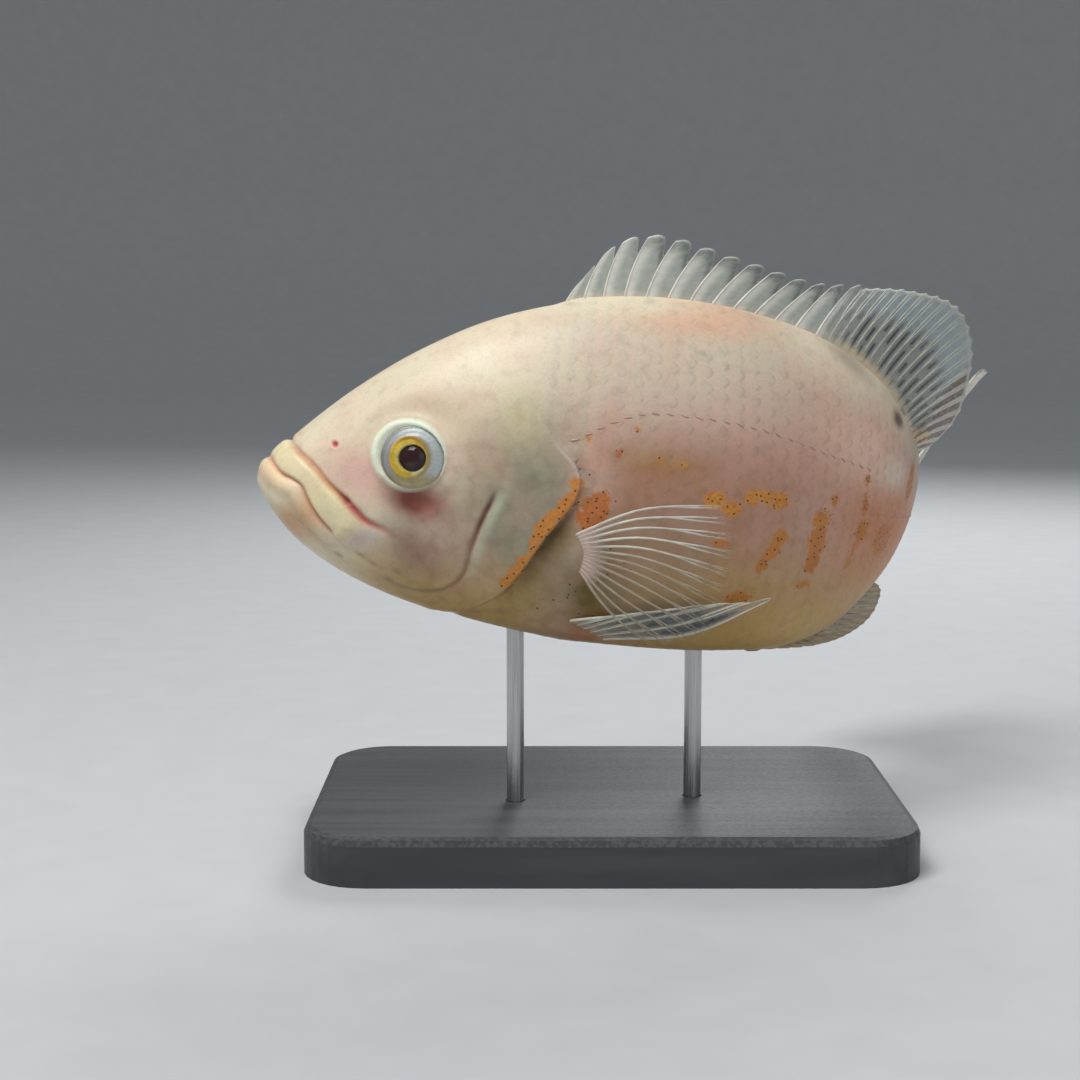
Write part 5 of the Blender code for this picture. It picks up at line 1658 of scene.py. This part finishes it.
def dorsal_coats(at, reach, span, margin, gap):
    """White flags before the spines, dark tips, a pale band over the soft rays, and a brown, spotted rear."""
    soft = fade(11.0, 16.0, at)
    front = (at < DORSAL_SPINES) * fade(0.56, 0.16, at - np.floor(at)) * fade(0.0, 0.12, reach)
    tips = (1 - soft) * fade(1.5, 4.0, at) * bell(margin - 1.3, 2.2)
    band = soft * fade(0.50, 0.74, reach) * fade(27.0, 25.0, at)
    rear = fade(25.0, 26.4, at)
    past_fold = reach - np.interp(at, *DORSAL_FOLD)
    beyond = rear * fade(-0.02, 0.05, past_fold)
    beads = rear * bell(past_fold, 0.035) * fade(0.7, 0.2, gap)
    inner = rear * fade(26.5, 28.5, at) * fade(0.05, -0.05, past_fold)
    sheath = soft * fade(6.5, 2.0, span) * fade(31.0, 27.0, at)
    root_mark = fade(0.9, 0.5, oval(at, span, (24.9, 1.4), (0.75, 2.6)))
    rows = [
        (FIN_WHITE, front, 0.8, 0.32),
        (FIN_SMOKE, tips, 0.75, 0.25),
        (SOFT_GREY, soft, 0.85, -0.10),
        (paint(176, 192, 196), band, 0.9, 0.28),
        (FIN_BROWN, beyond * fade(0.2, 0.55, gap), 1.0, 0.0),
        (paint(206, 190, 178), beyond * fade(0.34, 0.1, gap), 1.0, 0.0),
        (paint(228, 220, 200), beads, 1.0, 0.0),
        (paint(128, 112, 92), inner, 0.8, 0.35),
    ]
    for place, redness in FIN_SPOTS:
        mark = fade(1.0, 0.55, oval(at, reach, place, (0.75, 0.11)))
        rows.append((paint(222, 176 - 60 * redness, 78), mark, 0.95, 0.5))
    rows += [
        (paint(222, 200, 168), sheath, 1.0, 0.6),
        (paint(96, 88, 78), root_mark, 0.9, 0.0),
        (FIN_WHITE, fade(0.6, 0.2, margin) * (1.0 - 0.6 * (at < DORSAL_SPINES)), 1.0, 0.30),
    ]
    dash = soft * fade(0.76, 0.50, reach) * fade(0.02, 0.12, reach) * (1 - sheath)
    return 0.20 + 0.6 * beyond, dash, rows


def anal_coats(at, reach, span, margin, gap):
    rows = [(paint(172, 148, 98), np.ones(at.shape), 0.85, 0.0), white_edge(margin, 0.2)]
    return 0.34, fade(0.85, 0.5, reach) * fade(0.05, 0.2, reach), rows


def tail_coats(at, reach, span, margin, gap):
    corner = fade(1.8, 1.0, at) * fade(0.45, 0.7, reach)
    rows = [
        (FIN_CREAM, fade(0.5, 0.1, reach), 0.7, 0.0),
        (paint(238, 226, 200), corner, 1.0, 0.9),
        (paint(212, 158, 122), fade(8.0, 2.0, span), 1.0, 0.6),
        white_edge(margin),
    ]
    return 0.16, 0.7 * fade(0.8, 0.4, reach) * fade(0.04, 0.16, reach), rows


def pectoral_coats(at, reach, span, margin, gap):
    veil = 0.05 * fade(1.0, 0.75, reach) + 0.85 * fade(0.24, 0.02, reach)
    rows = [(paint(224, 194, 184), fade(0.30, 0.10, reach), 1.0, 0.0)]
    return veil - plain_veil(reach), np.zeros(at.shape), rows


def pelvic_coats(at, reach, span, margin, gap):
    cells = fade(0.24, 0.44, reach) * fade(0.88, 0.70, reach) * fade(3.4, 2.0, at) * fade(0.2, 0.5, gap)
    rows = [(FIN_BLUE, cells, 0.9, 0.5), white_edge(margin)]
    return -0.08, 0.5 * fade(0.02, 0.2, reach) * fade(0.95, 0.6, reach), rows


def plain_veil(reach):
    return 0.30 + 0.40 * fade(0.30, 0.0, reach)


# Each gives how much more solid its fin is than the plain veil, where dashes lie, and coats as rows of a
# colour, where it lies, its strength and how much more solid it makes the membrane
FIN_COATS = {"dorsal": dorsal_coats, "anal": anal_coats, "tail": tail_coats, "pectoral": pectoral_coats,
             "pelvic": pelvic_coats}


def paint_fin(name, piece):
    """Stores the colour, how solid the membrane looks, and how strong the dark dashes are."""
    at, reach, span, margin, gap = (field(piece, key) for key in ("ray_at", "reach", "span", "margin", "gap"))
    more, dash, rows = FIN_COATS[name.split("_")[0]](at, reach, span, margin, gap)
    veil = plain_veil(reach) + more
    tone = glaze(np.broadcast_to(CLEAR_GREY, at.shape + (4,)), FIN_CREAM, fade(4.0, 0.0, span) * 0.8)
    for colour, where, strength, solid in rows:
        tone = glaze(tone, colour, where * strength)
        veil = veil + solid * where
    store(piece, "tone", tone)
    store(piece, "veil", np.clip(veil, 0.0, 1.0))
    store(piece, "dash", np.clip(dash, 0.0, 1.0))


def membrane_material():
    material, tree, shader = new_material("fin_membrane", 0.38, specular=0.45, coat=0.1, coat_roughness=0.2)
    at, span, gap = (stored(tree, key) for key in ("ray_at", "span", "gap"))
    place = node(tree, "ShaderNodeCombineXYZ", {0: product(tree, at, 1.1), 1: product(tree, span, 0.22)})
    lane = product(tree, maths(tree, "FLOOR", at), 5.37)
    strip = node(tree, "ShaderNodeCombineXYZ", {0: lane, 1: product(tree, span, 0.17)})
    cells = noise(tree, strip.outputs[0], 1.0, 0.0)
    streaks = product(tree, between(tree, cells, 0.34, 0.47), between(tree, gap, 0.50, 0.92))
    dashes = product(tree, streaks, stored(tree, "dash"))
    haze = noise(tree, place.outputs[0], 3.0)
    cloudy = between(tree, haze, 0.3, 0.8, 0.0, 0.2)
    tone = mixed(tree, cloudy, stored(tree, "tone", "Color"), paint(232, 230, 214))
    alpha = product(tree, stored(tree, "veil"), between(tree, haze, 0.2, 0.8, 0.9, 1.08))
    alpha = maths(tree, "MAXIMUM", alpha, product(tree, dashes, 0.7))
    tree.links.new(maths(tree, "MINIMUM", alpha, 1.0), shader.inputs["Alpha"])
    wire(tree, shader, mixed(tree, product(tree, dashes, 0.95), tone, paint(46, 48, 52)), haze, 0.3)
    return material


def ray_material():
    material, tree, shader = new_material("fin_ray", 0.36, specular=0.45, coat=0.1, coat_roughness=0.2)
    place = object_place(tree)
    cloud = noise(tree, place, 220.0, 3.0)
    tone = mixed(tree, between(tree, cloud, 0.35, 0.7), paint(232, 230, 218), paint(206, 200, 186))
    tone = mixed(tree, between(tree, stored(tree, "reach"), 0.3, 0.0, 0.0, 0.5), tone, paint(232, 204, 178))
    tone = mixed(tree, product(tree, stored(tree, "tan"), 0.8), tone, paint(182, 156, 112))
    tree.links.new(stored(tree, "solid"), shader.inputs["Alpha"])
    wire(tree, shader, tone, noise(tree, place, 900.0), 0.2)
    return material


# %% Finish each fin
MEMBRANE = membrane_material()
RAY_FINISH = ray_material()
for name, (rays, spines) in FINS.items():
    piece = MEMBRANES[name]
    paint_fin(name, piece)
    piece.data.materials.append(MEMBRANE)
    lines = ray_lines(name + "_rays", rays, spines, *RAY_SHAPES[name.split("_")[0]])
    strands = grow(lines, TUBES, Sides=7, Finish=RAY_FINISH)
    for part in (piece, strands):
        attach(part, "root")
        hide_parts(name)
    print(name, "rays have", triangles(strands), "triangles")

# %% [markdown]
# The lateral line
#
# A fish feels the water through a row of pores along its flank. On a cichlid the row is broken: the upper
# part follows the back and stops under the soft dorsal fin, and the lower one runs along the middle of the
# tail stem. Every scale of the row carries a short slanting tube. The tubes are short lines on the flank,
# turned into tapered tubes by the same tree as the fin rays.

# %% Tubes of the lateral line
UPPER_LINE = ((76.9, 18.4), (90.7, 25.8), (104.0, 26.4), (118.1, 24.8), (137.1, 20.2), (150.8, 17.4))
LOWER_LINE = ((136.4, 5.9), (149.3, 5.5), (171.1, 4.7), (195.0, 3.6))
TUBE_SPACING = 3.2
TUBE_HALF = 1.10
TUBE_SLANT = math.radians(-16)
TUBE_RADIUS = 0.26
TUBE_SUNK = 0.17


def line_tubes(side):
    """The points of each tube, in the straight fish, and how wide the tube is there."""
    tubes = []
    for path in (UPPER_LINE, LOWER_LINE):
        length = float(np.hypot(*np.diff(smooth_path(path), axis=0).T).sum())
        stations = smooth_path(path, int(length / TUBE_SPACING) + 1)
        ahead = np.gradient(stations, axis=0)
        for (x, z), angle in zip(stations, np.arctan2(ahead[:, 1], ahead[:, 0]) + TUBE_SLANT):
            steps = np.linspace(-TUBE_HALF, TUBE_HALF, 6)
            along, height = (x + steps * math.cos(angle)) * MM, (z + steps * math.sin(angle)) * MM
            out = [flank(a, h) - TUBE_SUNK * MM for a, h in zip(along, height)]
            width = TUBE_RADIUS * np.sqrt(1.02 - (steps / TUBE_HALF) ** 2)
            tubes.append((np.stack([along, side * np.array(out), height], axis=1), width))
    return tubes


def lateral_line(name, side):
    lines, widths = zip(*line_tubes(side))
    size = len(widths[0])
    edges = [(t * size + n, t * size + n + 1) for t in range(len(lines)) for n in range(size - 1)]
    piece = new_mesh_object(name, posed(bend(np.concatenate(lines))), [], edges)
    store(piece, "thick", np.concatenate(widths) * MM)
    return piece


def pore_material():
    material, tree, shader = new_material("lateral_line", 0.44, specular=0.30, coat=0.09, coat_roughness=0.22)
    place = object_place(tree)
    cloud = noise(tree, place, 300.0, 3.0)
    tone = mixed(tree, between(tree, cloud, 0.35, 0.65), paint(204, 166, 150), paint(186, 146, 132))
    wire(tree, shader, tone, noise(tree, place, 900.0), 0.2)
    return material


PORES = pore_material()
for side, name in SIDES:
    row = grow(lateral_line("lateral_line_" + name, side), TUBES, Sides=8, Finish=PORES)
    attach(row, "root")
    print(row.name, "has", triangles(row), "triangles")

# %% [markdown]
# The stand
#
# The stand is not part of the fish, so it stays quiet: a satin dark grey base of painted wood and two steel
# rods. Its solids already have the right shape, and only their finish is made here. The paint shows a faint
# grain under it and is rubbed lighter along the edges. Steel rods are ground lengthwise, so their fine
# scratches run up and down, and they are drawn by a noise that is stretched along Z.

# %% Stand finishes
def stand_paint():
    material, tree, shader = new_material("stand_paint", 0.48, specular=0.4)
    place = object_place(tree)
    stretched = node(tree, "ShaderNodeMapping", {"Vector": place, "Scale": (14.0, 260.0, 120.0)}).outputs[0]
    grain = noise(tree, stretched, 1.0, 4.0)
    fine = noise(tree, place, 900.0, 3.0)
    tone = mixed(tree, between(tree, grain, 0.3, 0.7), paint(58, 61, 64), paint(72, 75, 78))
    normal = node(tree, "ShaderNodeNewGeometry").outputs["Normal"]
    upwards = node(tree, "ShaderNodeSeparateXYZ", {0: normal}).outputs[2]
    rounded = product(tree, between(tree, upwards, 0.15, 0.4), between(tree, upwards, 0.99, 0.9))
    worn = product(tree, rounded, between(tree, fine, 0.42, 0.62), 0.22)
    tree.links.new(between(tree, fine, 0.2, 0.8, 0.42, 0.56), shader.inputs["Roughness"])
    height = maths(tree, "ADD", product(tree, grain, 0.7), product(tree, fine, 0.3))
    wire(tree, shader, mixed(tree, worn, tone, paint(128, 128, 126)), height, 0.25)
    return material


def rod_steel():
    material, tree, shader = new_material("rod_steel", 0.3)
    shader.inputs["Metallic"].default_value = 1.0
    place = object_place(tree)
    stretched = node(tree, "ShaderNodeMapping", {"Vector": place, "Scale": (4000.0, 4000.0, 60.0)}).outputs[0]
    lines = noise(tree, stretched, 1.0, 3.0)
    tone = mixed(tree, between(tree, lines, 0.3, 0.7), paint(176, 178, 180), paint(212, 212, 210))
    tree.links.new(between(tree, lines, 0.2, 0.8, 0.22, 0.40), shader.inputs["Roughness"])
    wire(tree, shader, tone, lines, 0.12, distance=0.0001)
    return material


def finish_node(name, material):
    solid = bpy.data.objects[name]
    solid.data.materials.clear()
    solid.data.materials.append(material)


PAINT, STEEL = stand_paint(), rod_steel()
finish_node("stand_base", PAINT)
for name in ("stand_rod_front", "stand_rod_rear"):
    finish_node(name, STEEL)
print("stand finished in", PAINT.name, "and", STEEL.name)

# %% [markdown]
# Floor, backdrop and light
#
# The floor runs up into a round wall, so there is no hard horizon behind the fish from any side. Three large
# soft lights do the rest: a key from above in front, a weak fill from the side, and one behind that rims the
# fins and shines through them.

# %% Floor and backdrop
BACKDROP = ((0.9, 0.0), (1.5, 0.0), (1.9, 0.03), (2.2, 0.12), (2.42, 0.30), (2.55, 0.60), (2.6, 1.3))


def backdrop(spokes=96):
    angle = np.linspace(0.0, 2 * math.pi, spokes, endpoint=False)
    around = np.stack([np.cos(angle), np.sin(angle), np.zeros(spokes)], axis=1)
    rings = [r * around + (0, 0, h) for r, h in BACKDROP]
    middle = len(rings) * spokes
    faces = net_faces(len(rings), spokes).tolist()
    faces += [(middle, c, (c + 1) % spokes) for c in range(spokes)]
    return new_mesh_object("floor", np.concatenate(rings + [np.zeros((1, 3))]), faces)


def floor_paper():
    material, tree, shader = new_material("floor_paper", 0.8, specular=0.15)
    place = object_place(tree)
    wire(tree, shader, mixed(tree, noise(tree, place, 60.0, 1.0), paint(196, 198, 200), paint(204, 206, 207)))
    return material


floor = backdrop()
floor.data.materials.append(floor_paper())
print("backdrop radius", BACKDROP[-1][0], "m")

# %% Lights
# Place, power in watts and size in metres of each lamp
LIGHTS = {
    "key": ((-0.30, -0.40, 0.92), 7.6, 0.5),
    "fill": ((0.50, -0.80, 0.40), 1.0, 0.7),
    "rim": ((0.25, 0.75, 0.60), 4.0, 0.5),
}
LIT_PLACE = Vector((0, 0, 0.08))
for name, (place, power, size) in LIGHTS.items():
    lamp = bpy.data.objects.new(name, bpy.data.lights.new(name, "AREA"))
    lamp.data.energy = power
    lamp.data.size = size
    lamp.location = place
    lamp.rotation_euler = (LIT_PLACE - Vector(place)).to_track_quat("-Z", "Y").to_euler()
    bpy.context.collection.objects.link(lamp)
world = bpy.data.worlds.new("studio")
bpy.context.scene.world = world
world.use_nodes = True
sky = world.node_tree.nodes["Background"]
sky.inputs["Color"].default_value = (0.86, 0.90, 0.95, 1.0)
sky.inputs["Strength"].default_value = 0.25
bpy.context.scene.view_settings.view_transform = "Standard"
print("lights:", ", ".join(LIGHTS))
